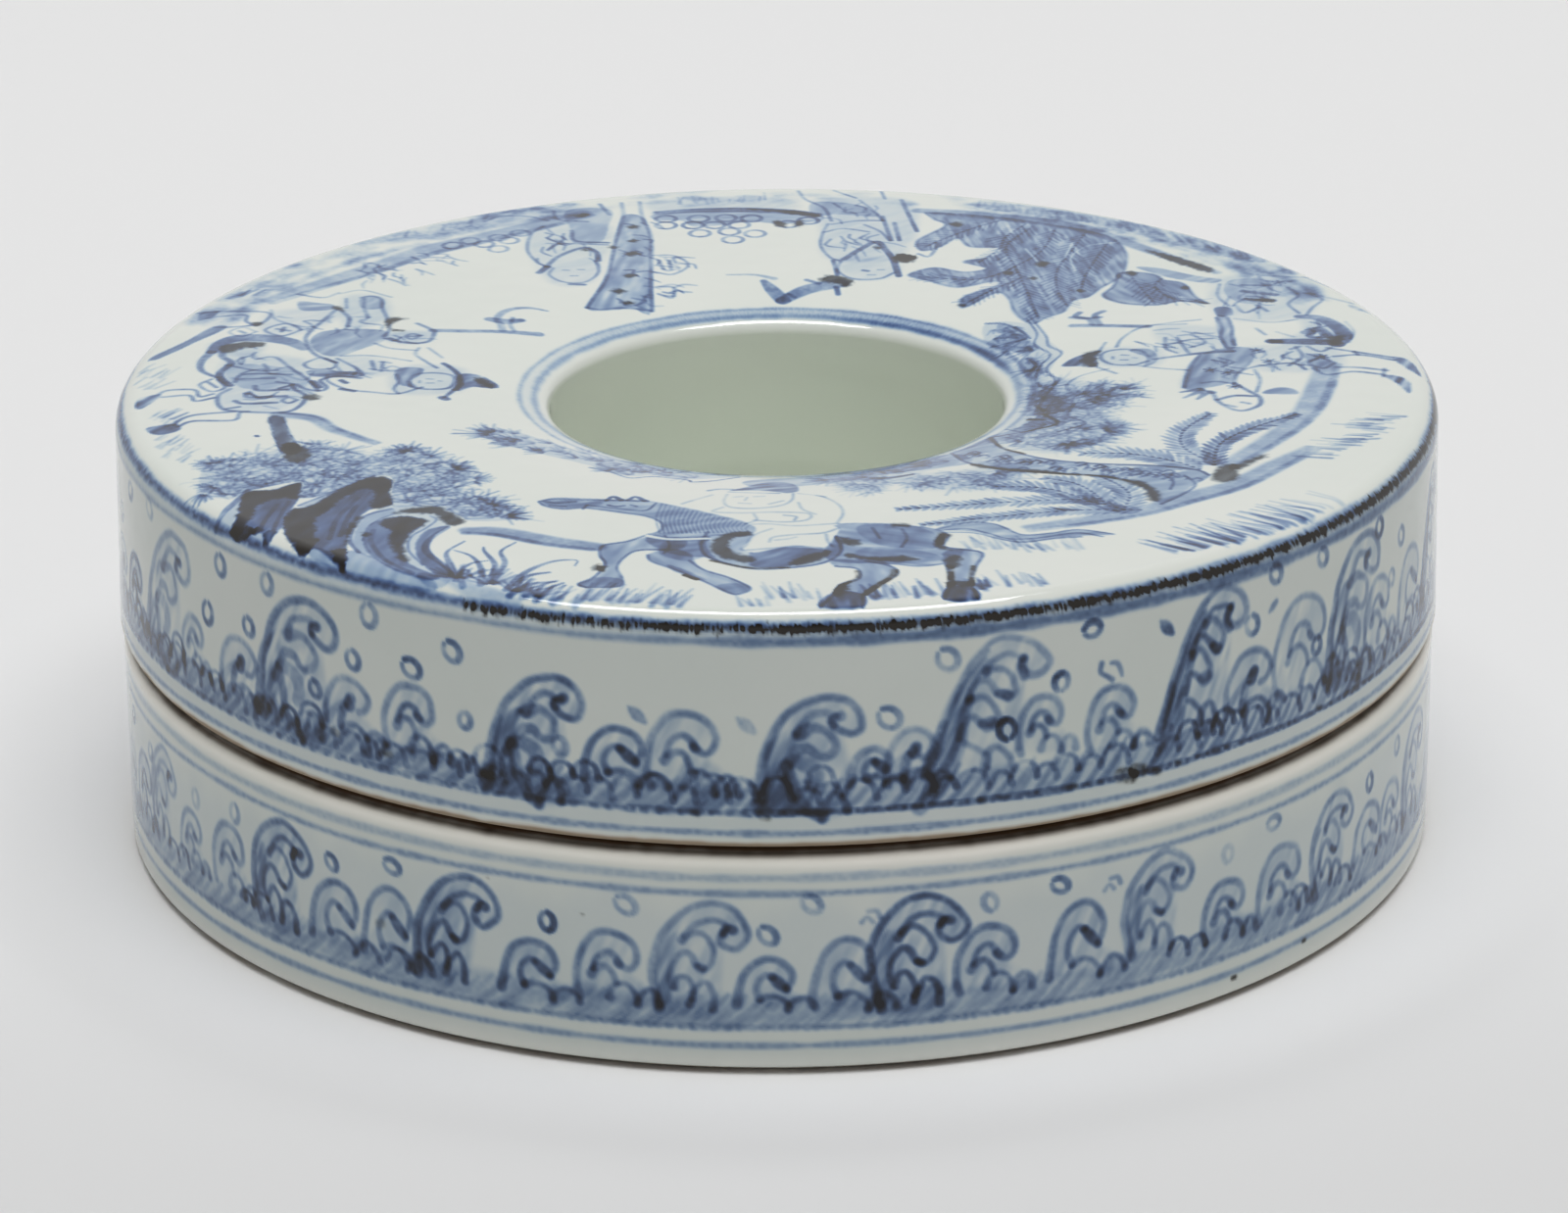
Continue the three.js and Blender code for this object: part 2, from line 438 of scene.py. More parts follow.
base_painted = np.vstack((
    run((lid_inside + SEAT_WIDTH, SEAT_HEIGHT), (edge_r, SEAT_HEIGHT - BASE_RIM_DROP), PAINTED_STEP),
    arc((edge_r, BASE_EDGE), BASE_EDGE_ROUNDING, 90, 0, PAINTED_STEP),
    run((BASE_RADIUS, BASE_EDGE), (BASE_RADIUS, FOOT_RISE + FOOT_ROUNDING), PAINTED_STEP),
    arc((BASE_RADIUS - FOOT_ROUNDING, FOOT_RISE + FOOT_ROUNDING), FOOT_ROUNDING, 0, -60, FINE_STEP),
    run((BASE_RADIUS - FOOT_TURN[0], FOOT_RISE + FOOT_TURN[1]), (foot_out, 0.0), PAINTED_STEP),
))
base_plain = np.vstack((
    run((foot_out, 0.0), (foot_out - FOOT_WIDTH, 0.0), FILLET_STEP),
    run((foot_out - FOOT_WIDTH, 0.0), (recess_out, RECESS), FOOT_STEP),
    run((recess_out, RECESS), (recess_in, RECESS), PLAIN_STEP),
    run((recess_in, RECESS), (foot_in + FOOT_WIDTH, 0.0), FOOT_STEP),
    run((foot_in + FOOT_WIDTH, 0.0), (foot_in, 0.0), FILLET_STEP),
    run((foot_in, 0.0), (HOLE_RADIUS, FOOT_RISE), BEVEL_STEP),
    run((HOLE_RADIUS, FOOT_RISE), (HOLE_RADIUS, BASE_EDGE), PLAIN_STEP),
    arc((HOLE_RADIUS + BASE_EDGE_ROUNDING, BASE_EDGE), BASE_EDGE_ROUNDING, 180, 90, SEAT_STEP),
    run((HOLE_RADIUS + BASE_EDGE_ROUNDING, SEAT_HEIGHT - BASE_RIM_DROP), tube_seat, SEAT_STEP),
    run(tube_seat, (tube_lip_in, SEAT_HEIGHT), BEVEL_STEP),
    run((tube_lip_in, SEAT_HEIGHT), (tube_lip_in, lip_z), FILLET_STEP),
    arc((tube_lip_in + LIP_ROUNDING, lip_z), LIP_ROUNDING, 180, 90, LIP_STEP),
    arc((tube_lip_out - LIP_ROUNDING, lip_z), LIP_ROUNDING, 90, 0, LIP_STEP),
    run((tube_lip_out, lip_z), (tube_lip_out, trough_z), PLAIN_STEP),
    arc((tube_lip_out + INSIDE_FILLET, trough_z), INSIDE_FILLET, 180, 270, FILLET_STEP),
    run((tube_lip_out + INSIDE_FILLET, TROUGH_FLOOR), (lip_in - INSIDE_FILLET, TROUGH_FLOOR), PLAIN_STEP),
    arc((lip_in - INSIDE_FILLET, trough_z), INSIDE_FILLET, 270, 360, FILLET_STEP),
    run((lip_in, trough_z), (lip_in, lip_z), PLAIN_STEP),
    arc((lip_in + LIP_ROUNDING, lip_z), LIP_ROUNDING, 180, 90, LIP_STEP),
    arc((lip_out - LIP_ROUNDING, lip_z), LIP_ROUNDING, 90, 0, LIP_STEP),
    run((lip_out, lip_z), (lip_out, SEAT_HEIGHT), FILLET_STEP),
    run((lip_out, SEAT_HEIGHT), (lid_inside + SEAT_WIDTH, SEAT_HEIGHT), SEAT_STEP),
))
print("rows on the base:", len(base_painted), "painted and", len(base_plain), "plain")

# %% [markdown]
# ## The brush
# Underglaze cobalt is brushed on raw clay: a stroke has an even body, soft edges where the clay drank the
# water, and a darker end where the brush stopped. Here a canvas of paint strengths lies on the painted
# rows: a row for each profile point, and a column for each small turn. A chart says where each cell lies
# when the surface is laid flat, and a stroke adds strength to the cells within its width. Hashed values
# give repeatable unevenness.

# %% Repeatable unevenness
COLUMNS = 2112
TURN = 2.0 * np.pi / COLUMNS
angles = np.arange(COLUMNS) * TURN
rng = np.random.default_rng(7)


def hashed(i, j, seed):
    """A random-looking value from 0 to 1 for each pair of whole numbers, always the same one."""
    mixed = i.astype(np.uint32) * np.uint32(374761393) + j.astype(np.uint32) * np.uint32(668265263)
    mixed = mixed + np.uint32(seed * 974711)
    mixed = (mixed ^ (mixed >> np.uint32(13))) * np.uint32(1274126177)
    return ((mixed ^ (mixed >> np.uint32(16))) & np.uint32(0xFFFF)) / 65535.0


def cloud(x, y, seed, period=0):
    """Smooth values from 0 to 1: hashed values on a unit grid, blended; a period closes it round a ring."""
    i, j = np.floor(x).astype(np.int64), np.floor(y).astype(np.int64)
    u, v = x - i, y - j
    u, v = u * u * (3.0 - 2.0 * u), v * v * (3.0 - 2.0 * v)
    after = i + 1
    if period:
        i, after = i % period, after % period
    low = hashed(i, j, seed) * (1.0 - u) + hashed(after, j, seed) * u
    high = hashed(i, j + 1, seed) * (1.0 - u) + hashed(after, j + 1, seed) * u
    return low * (1.0 - v) + high * v


def ease(share):
    """A smooth step: 0 below 0, 1 above 1, and level at both ends."""
    share = np.clip(share, 0.0, 1.0)
    return share * share * (3.0 - 2.0 * share)


print("unevenness is ready")

# %% Charts
class Chart:
    """A painted surface laid flat, in millimetres, with its layers of colour.

    A strip has x along the wall, to the right from the front, and y up. A disc is seen from above, y back.
    """

    def __init__(self, layers, rows, across, strip_radius=0.0):
        self.layers = {name: layer[rows] for name, layer in layers.items()}
        self.across = across
        self.strip_radius = strip_radius
        self.wet = np.zeros((len(across), COLUMNS), np.float32)

    def window(self, points, reach):
        """The cells near some points: an index into the layers, and the cells' places."""
        x, y = points[:, 0], points[:, 1]
        if self.strip_radius:
            place, turn = y, x / self.strip_radius
            spread = reach / self.strip_radius
        else:
            place, turn = np.hypot(x, y), np.unwrap(np.arctan2(x, -y))
            spread = reach / max(4.0, place.min() - reach)
        near = np.nonzero((self.across > place.min() - reach) & (self.across < place.max() + reach))[0]
        first = math.floor((turn.min() - spread) / TURN)
        last = math.ceil((turn.max() + spread) / TURN)
        columns = np.arange(first, last + 1)[:COLUMNS]
        index = np.ix_(near, columns % COLUMNS)
        shape = (len(near), len(columns))
        if self.strip_radius:
            cell_x = np.broadcast_to(columns * TURN * self.strip_radius, shape)
            cell_y = np.broadcast_to(self.across[near][:, None], shape)
        else:
            cell_x = np.outer(self.across[near], np.sin(columns * TURN))
            cell_y = -np.outer(self.across[near], np.cos(columns * TURN))
        return index, cell_x, cell_y


lid_layers = {name: np.zeros((len(lid_painted), COLUMNS), np.float32) for name in ("cobalt", "iron")}
base_layers = {name: np.zeros((len(base_painted), COLUMNS), np.float32) for name in ("cobalt", "iron")}
lid_along = lengths(lid_painted)
shoulder_row = int(np.argmin(np.abs(lid_painted[:, 0] - shoulder_r) + np.abs(lid_painted[:, 1] - TOP_HEIGHT)))
brow_row = int(np.argmin(np.abs(lid_painted[:, 0] - brow_r) + np.abs(lid_painted[:, 1] - TOP_HEIGHT)))
shoulder_length = 0.5 * math.pi * SHOULDER_RADIUS
wall_row = int(np.argmin(np.abs(lid_along - lid_along[shoulder_row] - shoulder_length)))
top_chart = Chart(lid_layers, slice(0, wall_row), brow_r + lid_along[:wall_row] - lid_along[brow_row])
wall_heights = shoulder_z + lid_along[wall_row] - lid_along[shoulder_row:]
wall_chart = Chart(lid_layers, slice(shoulder_row, None), wall_heights, LID_RADIUS)
base_heights = base_painted[:, 1].copy()
base_edge_rows = base_painted[:, 1] > BASE_EDGE
base_along = lengths(base_painted)
base_first = int(np.count_nonzero(base_edge_rows))
base_heights[:base_first] = BASE_EDGE + base_along[base_first] - base_along[:base_first]
base_chart = Chart(base_layers, slice(None), base_heights, BASE_RADIUS)
print("charts: top", top_chart.wet.shape, "lid wall", wall_chart.wet.shape, "base wall", base_chart.wet.shape)

# %% [markdown]
# A stroke follows a smooth curve through a few points. Its cells get their strength from their distance
# to the curve, so a stroke that crosses itself doesn't grow darker, but two strokes do. A wash fills an
# outline with thin colour, streaked along the way the brush went. A reserve takes colour away, as bare
# clay left between.

# %% Strokes
SOFT_EDGE = 0.42
CHUNK = 8


def flowing(points, step=0.55):
    """Points about step apart on a Catmull-Rom curve through the given ones; extra columns go along."""
    points = np.array(points, float)
    if len(points) == 2:
        count = max(1, math.ceil(float(np.linalg.norm((points[1] - points[0])[:2])) / (2.0 * step)))
        share = np.linspace(0.0, 1.0, count + 1)[:, None]
        return points[0] + share * (points[1] - points[0])
    padded = np.vstack((2.0 * points[0] - points[1], points, 2.0 * points[-1] - points[-2]))
    curve = []
    for a, b, c, d in zip(padded[:-3], padded[1:-2], padded[2:-1], padded[3:]):
        count = max(2, math.ceil(float(np.linalg.norm((c - b)[:2])) / step))
        t = np.arange(count)[:, None] / count
        curve.append(b + 0.5 * t * (c - a + t * (2 * a - 5 * b + 4 * c - d + t * (3 * (b - c) + d - a))))
    return np.vstack(curve + [points[-1:]])


def nearest(cell_x, cell_y, path):
    """For each cell, the least distance to a path, less the path's half width (third column) there."""
    start, along = path[:-1], np.diff(path, axis=0)
    square = np.maximum(along[:, 0] ** 2 + along[:, 1] ** 2, 1e-9)
    off_x, off_y = cell_x[..., None] - start[:, 0], cell_y[..., None] - start[:, 1]
    t = np.clip((off_x * along[:, 0] + off_y * along[:, 1]) / square, 0.0, 1.0)
    gap = np.hypot(off_x - t * along[:, 0], off_y - t * along[:, 1]) - start[:, 2] - t * along[:, 2]
    return gap.min(axis=-1)


def stroke(chart, points, width=0.7, depth=0.7, soft=SOFT_EDGE, layer="cobalt", uneven=0.5, pool=0.25):
    """One brush stroke: width in mm is one value or several; it deepens by pool towards its end."""
    points = np.reshape(points, (-1, 2))
    width = np.atleast_1d(np.array(width, float))
    half = 0.5 * np.interp(np.linspace(0, 1, len(points)), np.linspace(0, 1, len(width)), width)
    path = flowing(np.column_stack((points, half, np.linspace(0.0, 1.0, len(points)))))
    path[:, 2] = np.maximum(path[:, 2], 0.05)
    windows = []
    for first in range(0, len(path) - 1, CHUNK):
        piece = path[first:first + CHUNK + 1]
        index, x, y = chart.window(piece, piece[:, 2].max() + soft)
        if x.size == 0:
            continue
        cover = ease((0.5 * soft - nearest(x, y, piece)) / soft)
        cover *= 1.0 + pool * (2.0 * piece[:, 3].mean() - 1.0)
        chart.wet[index] = np.maximum(chart.wet[index], cover)
        windows.append((index, x, y))
    for index, x, y in windows:
        shade = 1.0 + uneven * (cloud(x / 2.6, y / 2.6, 3) + 0.5 * cloud(x / 0.6, y / 0.6, 5) - 0.75)
        chart.layers[layer][index] += depth * shade * chart.wet[index]
        chart.wet[index] = 0.0


print("strokes are ready")

# %% Washes, reserves and bands
def filled(chart, outline, soft, ragged=0.0):
    """The cells inside a closed outline (even-odd rule), from 0 outside to 1 inside over the soft distance.

    A ragged edge wavers by that many millimetres, as where a dry brush leaves the clay.
    """
    closed = np.vstack((outline, outline[:1]))
    path = np.column_stack((closed[:, :2], np.zeros(len(closed))))
    index, x, y = chart.window(path, soft + ragged)
    if x.size == 0:
        return index, x, y, np.zeros(x.shape)
    start, stop = path[:-1], path[1:]
    over = (start[:, 1] > y[..., None]) != (stop[:, 1] > y[..., None])
    rise = np.where(np.abs(stop[:, 1] - start[:, 1]) < 1e-9, 1e-9, stop[:, 1] - start[:, 1])
    meet = start[:, 0] + (y[..., None] - start[:, 1]) * (stop[:, 0] - start[:, 0]) / rise
    inside = (over & (x[..., None] < meet)).sum(axis=-1) % 2
    gap = nearest(x, y, path)
    waver = ragged * (cloud(x / 0.55, y / 0.55, 17) + cloud(x / 1.3, y / 1.3, 19) - 1.0)
    return index, x, y, ease(0.5 + (np.where(inside == 1, gap, -gap) + waver) / soft)


def rounded(outline):
    """A closed smooth outline through the given points."""
    outline = np.array(outline, float)[:, :2]
    wrapped = np.vstack((outline[-1:], outline, outline[:2]))
    smooth = flowing(wrapped, 0.9)
    first = int(np.argmin(np.linalg.norm(smooth - outline[0], axis=1)))
    gaps = np.linalg.norm(smooth - outline[0], axis=1)
    gaps[:first + 3] = np.inf
    return smooth[first:int(np.argmin(gaps))]


def wash(chart, outline, depth=0.3, soft=0.7, streak=0.5, lean=60.0, spacing=1.1, layer="cobalt", ragged=0.0):
    """Thin colour in an outline, with streaks of the brush at an angle, the lean, and a spacing in mm."""
    index, x, y, cover = filled(chart, rounded(outline), soft, ragged)
    angle = math.radians(lean)
    along, beside = x * math.cos(angle) + y * math.sin(angle), y * math.cos(angle) - x * math.sin(angle)
    streaks = cloud(along / (7.0 * spacing), beside / spacing, 11) + 0.5 * cloud(x / 4.0, y / 4.0, 13)
    streaks += 0.5 * cloud(along / 2.2, beside / 0.9, 15)
    chart.layers[layer][index] += depth * cover * np.clip(1.0 + streak * (2.0 * streaks - 2.0), 0.1, 2.0)


def reserve(chart, outline, soft=0.5, keep=0.0):
    """Takes the blue away inside an outline, apart from a share that is kept."""
    index, _, _, cover = filled(chart, rounded(outline), soft)
    chart.layers["cobalt"][index] *= 1.0 - (1.0 - keep) * cover


def band(chart, height, width, depth, wander=0.12, soft=0.5, layer="cobalt", seed=1, grain=0.5):
    """A line all round the ring that wanders a little; depth is one value or one per column."""
    middle = height + wander * (2.0 * cloud(angles * 9.0 / (2.0 * np.pi) * 5.0, angles * 0.0, seed, 45) - 1.0)
    half = 0.5 * width * (0.75 + 0.5 * cloud(angles / (2.0 * np.pi) * 160.0, angles * 0.0, seed + 1, 160))
    gap = np.abs(chart.across[:, None] - middle) - half
    near = np.nonzero(gap.min(axis=1) < soft)[0]
    speck = cloud(np.broadcast_to(angles / TURN / 2.0, (len(near), COLUMNS)),
        np.broadcast_to(chart.across[near][:, None] / 0.6, (len(near), COLUMNS)), seed + 2, COLUMNS // 2)
    cover = ease((0.5 * soft - gap[near]) / soft) * (1.0 + grain * (speck - 0.5))
    chart.layers[layer][near] += depth * cover


print("washes, reserves and bands are ready")

# %% [markdown]
# ## The waves
# Both walls carry a band of breaking waves, a common pattern on porcelain. Each crest is a few strokes of
# a loaded brush: a thick one up the back and over into a hook, scallops inside it that end in dark blobs,
# and arches of foam at its foot with dark tips. The points are shares of the crest's height, measured
# from its foot, so that one drawing serves crests of every size, and each one gets a small random change,
# as a painter's hand would give it.

# %% Shapes of the crests
# Each line of a crest is its tone, its widths in millimetres along it, and its points, x and y in turn.
STANDING = (
    (1.00, (1.5, 1.3, 1.15, 1.0, .9, .85, .95, 1.05), (0,0, -.05,.16, -.09,.36, -.085,.52, -.045,.68,
        .05,.84, .18,.955, .35,1.0, .52,.945, .64,.83, .69,.70, .645,.61, .56,.575, .48,.62, .45,.69,
        .475,.745)), (1.35, (1.0, 1.4), (.465,.72, .50,.765, .55,.755)),
    (0.85, (.8, .85, .9, 1.15), (.50,.785, .435,.825, .33,.836, .23,.79, .17,.715, .136,.64)),
    (0.80, (1.1, .8, .75, .8, 1.1, .9, .85, .9), (.153,.68, .237,.734, .32,.706, .395,.61, .42,.51,
        .39,.415, .325,.385, .266,.43, .225,.505, .17,.545, .11,.50, .068,.41, .062,.29, .096,.20)),
    (1.20, (.9, 1.1), (.275,.42, .325,.395)),
    (1.00, (1.0, .75, .8, 1.2), (.10,.20, .136,.294, .19,.328, .25,.27, .277,.17, .266,.056)),
    (1.00, (.9, .75, .8, 1.2), (.275,.11, .30,.20, .345,.258, .407,.237, .455,.14, .463,.02)))
STANDING_STEM = (-.02,.02, -.06,.20, -.07,.40, -.05,.55, 0,.68, .08,.72, .10,.60, .07,.42, .06,.28, .10,.08)
LOW_CURL = (
    (0.95, (1.4, 1.1, 1.0, 1.0, 1.0, .9), (0,0, .02,.27, .10,.61, .24,.84, .46,.985, .68,1.0, .90,.90,
        1.03,.71, 1.02,.52, .93,.38)), (1.45, (1.2, 1.6, 1.2), (.93,.36, .80,.48, .66,.60)),
    (0.90, (1.0, .85, .85, 1.2), (.67,.61, .54,.65, .40,.53, .355,.33, .43,.15)),
    (0.90, (1.1, .7, .7, 1.1), (.44,.13, .63,.195, .82,.15, .985,0, .98,-.10)),
    (0.95, (1.1, .8, .8, 1.1), (.98,-.06, 1.10,.09, 1.27,.15, 1.43,.06, 1.50,-.08)))
HIGH_CURL = (
    (0.90, (1.1, 1.0, 1.0, 1.0, .95, .9, 1.05), (0,0, -.055,.17, -.055,.40, -.01,.61, .085,.81, .225,.955,
        .385,1.0, .59,.96, .73,.85, .795,.68, .775,.54, .69,.467, .60,.495, .525,.565)),
    (1.05, (1.2, .9, .85, .9), (.56,.53, .487,.655, .40,.71, .30,.67, .225,.57, .18,.43)),
    (1.00, (1.4, 1.0, .8, .9), (.17,.35, .26,.465, .375,.475, .467,.375, .505,.24)),
    (1.00, (1.3, .8, .75, 1.1), (.40,.03, .44,.168, .542,.25, .673,.215, .766,.075, .79,-.06)),
    (1.00, (1.1, .75, .8, 1.2), (.79,-.05, .86,.13, .97,.19, 1.06,.10, 1.09,-.06)))
DARK_CURL = (
    (0.85, (1.3, 1.0, .95, .95, .9, 1.0), (0,0, 0,.24, .025,.48, .12,.72, .30,.93, .54,1.0, .78,.93,
        .95,.76, .985,.58, .88,.42, .76,.40)), (1.55, (1.6, 1.8), (.60,.62, .56,.50)),
    (1.15, (1.2, 1.4, 1.2), (.55,.60, .43,.40, .36,.18, .35,.05)),
    (0.45, (1.5, 1.1), (.05,.12, .20,.33, .42,.50)),
    (1.10, (1.5, .9, .9, 1.3), (.40,-.03, .50,.10, .69,.145, .84,.06, .94,-.10, .96,-.34)),
    (1.00, (1.0, .8, 1.0), (.95,-.05, 1.06,.08, 1.22,.07, 1.33,-.08)))
LEANING = (
    (0.85, (1.5, 1.3, 1.0, .9, .95, 1.1, 1.2, 1.2, 1.0), (.03,.20, .096,.367, .1375,.51, .1875,.633,
        .246,.758, .317,.875, .39,.954, .47,.996, .57,1.008, .68,.98, .77,.917, .817,.842, .80,.779,
        .75,.746, .69,.758, .646,.80, .633,.846, .66,.878)),
    (1.25, (1.2, 1.3), (.66,.75, .64,.81, .648,.86)),
    (0.80, (.9, .8, .8, 1.1), (.655,.87, .604,.90, .5375,.908, .47,.8875, .429,.85, .4125,.80)),
    (0.85, (1.1, .8, .85, 1.3, .9, .85, 1.0), (.417,.82, .47,.8375, .533,.808, .583,.754, .60,.696,
        .571,.65, .529,.642, .4875,.675, .45,.725, .408,.754, .3625,.746, .325,.708, .30,.654)),
    (1.10, (1.0, 1.5), (.49,.67, .545,.652)),
    (0.85, (1.2, .8, .9, 1.4, .9, .85, 1.0), (.304,.6375, .354,.658, .408,.646, .454,.596, .483,.529,
        .47,.479, .429,.4625, .383,.492, .3375,.529, .29,.525, .2625,.479, .25,.417)),
    (0.95, (1.2, 1.8), (.39,.49, .45,.49)),
    (0.80, (1.1, 1.6, 2.0, 2.3, 2.2), (.31,.667, .283,.56, .254,.458, .235,.36, .19,.25, .1375,.175,
        .07,.083, 0,.0)), (0.72, (1.0, 1.5, 1.9), (.135,.50, .09,.36, .035,.21)),
    (0.60, (.6, .8, .6), (.13,.25, .196,.4375, .25,.583, .333,.75, .396,.84)),
    (0.45, (.6, .7, .5), (.09,.25, .158,.479, .229,.646, .3125,.80, .42,.95)),
    (0.85, (.9, .8, .9), (.28,.37, .34,.345, .41,.28, .42,.21)),
    (0.90, (1.4, .8, .9), (.40,.22, .43,.30, .49,.32, .55,.26, .59,.17)))
LEANING_STEM = (.02,.02, .05,.25, .13,.49, .20,.64, .28,.78, .38,.90, .43,.88, .35,.74, .30,.64, .26,.48,
    .235,.34, .16,.20)
STREAKED = (
    (0.95, (2.2, 1.7, 1.3, 1.15, 1.1, 1.05, 1.0, 1.1, 1.0), (0,0, .02,.13, .04,.28, .065,.43, .107,.575,
        .165,.706, .25,.833, .355,.93, .48,.98, .60,.99, .715,.94, .79,.858, .81,.76, .78,.686, .715,.657,
        .64,.686, .588,.735, .588,.79, .63,.815)), (1.15, (1.2, 1.4), (.59,.745, .592,.79, .645,.818)),
    (0.85, (.9, 1.1, 1.0, 1.8), (.60,.83, .53,.853, .456,.838, .397,.794, .365,.735, .335,.67)),
    (0.90, (1.9, 1.1, 1.0, 1.2, 1.1, 1.6, 1.5, 1.6), (.358,.67, .43,.706, .505,.696, .5686,.637, .598,.564,
        .578,.49, .515,.451, .456,.466, .417,.51, .3725,.534, .309,.515, .26,.451, .2255,.3775, .19,.304)),
    (0.62, (1.6, 2.2, 2.4, 1.8), (.225,.392, .29,.41, .36,.40, .417,.353, .44,.265, .407,.18)),
    (0.90, (1.4, 1.6, 1.3, 1.3, 1.5), (.225,.38, .265,.23, .2745,.132, .309,.049, .382,-.04, .456,-.11)),
    (0.45, (.7, .9, .5), (.03,.05, .12,.25, .24,.45)), (0.40, (.7, .9, .5), (.06,-.02, .16,.15, .25,.28)),
    (0.95, (1.2, .8, .9, 1.3), (.46,-.12, .50,.02, .53,.10, .59,.115, .64,.03, .65,-.06)))
STREAKED_STEM = (.0,-.06, .03,.20, .06,.40, .12,.58, .25,.70, .33,.66, .27,.50, .22,.36, .26,.20, .30,.02,
    .36,-.06)
print("six shapes of crest are ready")

# %% Painting a crest
FILL_SHARE = 0.24
TONE_SHARE = 0.78
WIDTH_SHARE = 1.08


def crest(chart, foot, height, lines, tone=0.7, stem=None, stem_tone=0.3, lean=0.0, stretch=1.0):
    """One breaking wave: its lines scaled by its height, stretched, leaned over, and set at its foot.

    Thin colour fills it first, from its back to the end of its last arch.
    """
    stretch = stretch * (1.0 + rng.normal(0.0, 0.03))
    lean = lean + rng.normal(0.0, 0.015)

    def placed(shape):
        shape = np.array(shape, float).reshape(-1, 2)
        shape += rng.normal(0.0, 0.006, shape.shape)
        x = shape[:, 0] * stretch + lean * shape[:, 1]
        return np.column_stack((foot[0] + height * x, foot[1] + height * shape[:, 1]))

    wash(chart, placed(lines[0][2] + lines[-1][2][-2:]), FILL_SHARE * tone, soft=1.6, streak=0.7, lean=66.0,
        spacing=0.9)
    if stem is not None:
        wash(chart, placed(stem), stem_tone, soft=1.0, streak=0.9, lean=66.0, spacing=0.8)
    for share, widths, shape in lines:
        stroke(chart, placed(shape), WIDTH_SHARE * np.array(widths) * rng.uniform(0.92, 1.08),
            TONE_SHARE * tone * share * rng.uniform(0.88, 1.12), soft=0.85, uneven=0.7, pool=0.10)


print("crests can be painted")

# %% Spray, foam and hatching
def drop(chart, x, y, size=3.0, depth=0.65, turn=0.0, slim=0.8, width=0.92, gap=20.0):
    """A drop of spray: an open ring with one thick side, longer than wide, turned by degrees."""
    around = np.radians(np.linspace(90.0 + gap, 450.0 - gap, 9))
    ring_x, ring_y = 0.5 * slim * size * np.cos(around), 0.5 * size * np.sin(around)
    c, s = math.cos(math.radians(turn)), math.sin(math.radians(turn))
    points = np.column_stack((x + c * ring_x - s * ring_y, y + s * ring_x + c * ring_y))
    stroke(chart, points, (0.8 * width, width, 1.25 * width, width), depth, soft=0.6, uneven=0.9, pool=0.3)


def daub(chart, x, y, size, depth, turn):
    """A filled drop: one short stroke, thick in its middle."""
    c, s = math.cos(math.radians(turn)), math.sin(math.radians(turn))
    half = 0.5 * size
    stroke(chart, ((x - c * half, y - s * half), (x, y), (x + c * half, y + s * half)),
        (0.5, 0.62 * size, 0.9), depth, soft=0.7, uneven=0.8)


def foam(chart, start, stop, height, depth):
    """A few arches along the water, each with a dark tip, of uneven span and rise, with gaps between."""
    x = start
    while x < stop:
        span = rng.uniform(2.6, 5.2)
        rise = span * rng.uniform(0.4, 0.62)
        low = height + rng.uniform(-0.7, 0.7)
        arch = ((x, low), (x + .15 * span, low + .72 * rise), (x + .48 * span, low + rise),
                (x + .84 * span, low + .66 * rise), (x + span, low - .35 * rise))
        stroke(chart, arch, (1.0, .7, .7, 1.15), depth * rng.uniform(0.75, 1.15), soft=0.6, uneven=0.9,
            pool=0.35)
        x += span * rng.uniform(0.9, 1.25)


def hatch(chart, start, stop, low, high, depth, spacing=2.3, lean=0.75, width=0.95):
    """Slanting strokes of thin colour up from the water line: lean is the way across per height."""
    for x in np.arange(start, stop, spacing):
        x += rng.uniform(-0.3, 0.3) * spacing
        top = high + rng.uniform(-1.4, 0.7)
        reach = lean * rng.uniform(0.85, 1.15) * (top - low)
        line = ((x, low), (x + 0.58 * reach, 0.5 * (low + top)), (x + reach, top))
        stroke(chart, line, (1.3 * width, width, 0.6 * width), depth * rng.uniform(0.55, 1.25), soft=0.8,
            pool=-0.2)


print("spray, foam and hatching are ready")

# %% [markdown]
# The crests that the photograph shows stand where they do there: each has the place of its foot along the
# wall and up it, its height, and its tone. Round the back the same rhythm goes on: a tall crest about
# every 37 mm, with smaller ones between. Under them slanting strokes run down to the water line.

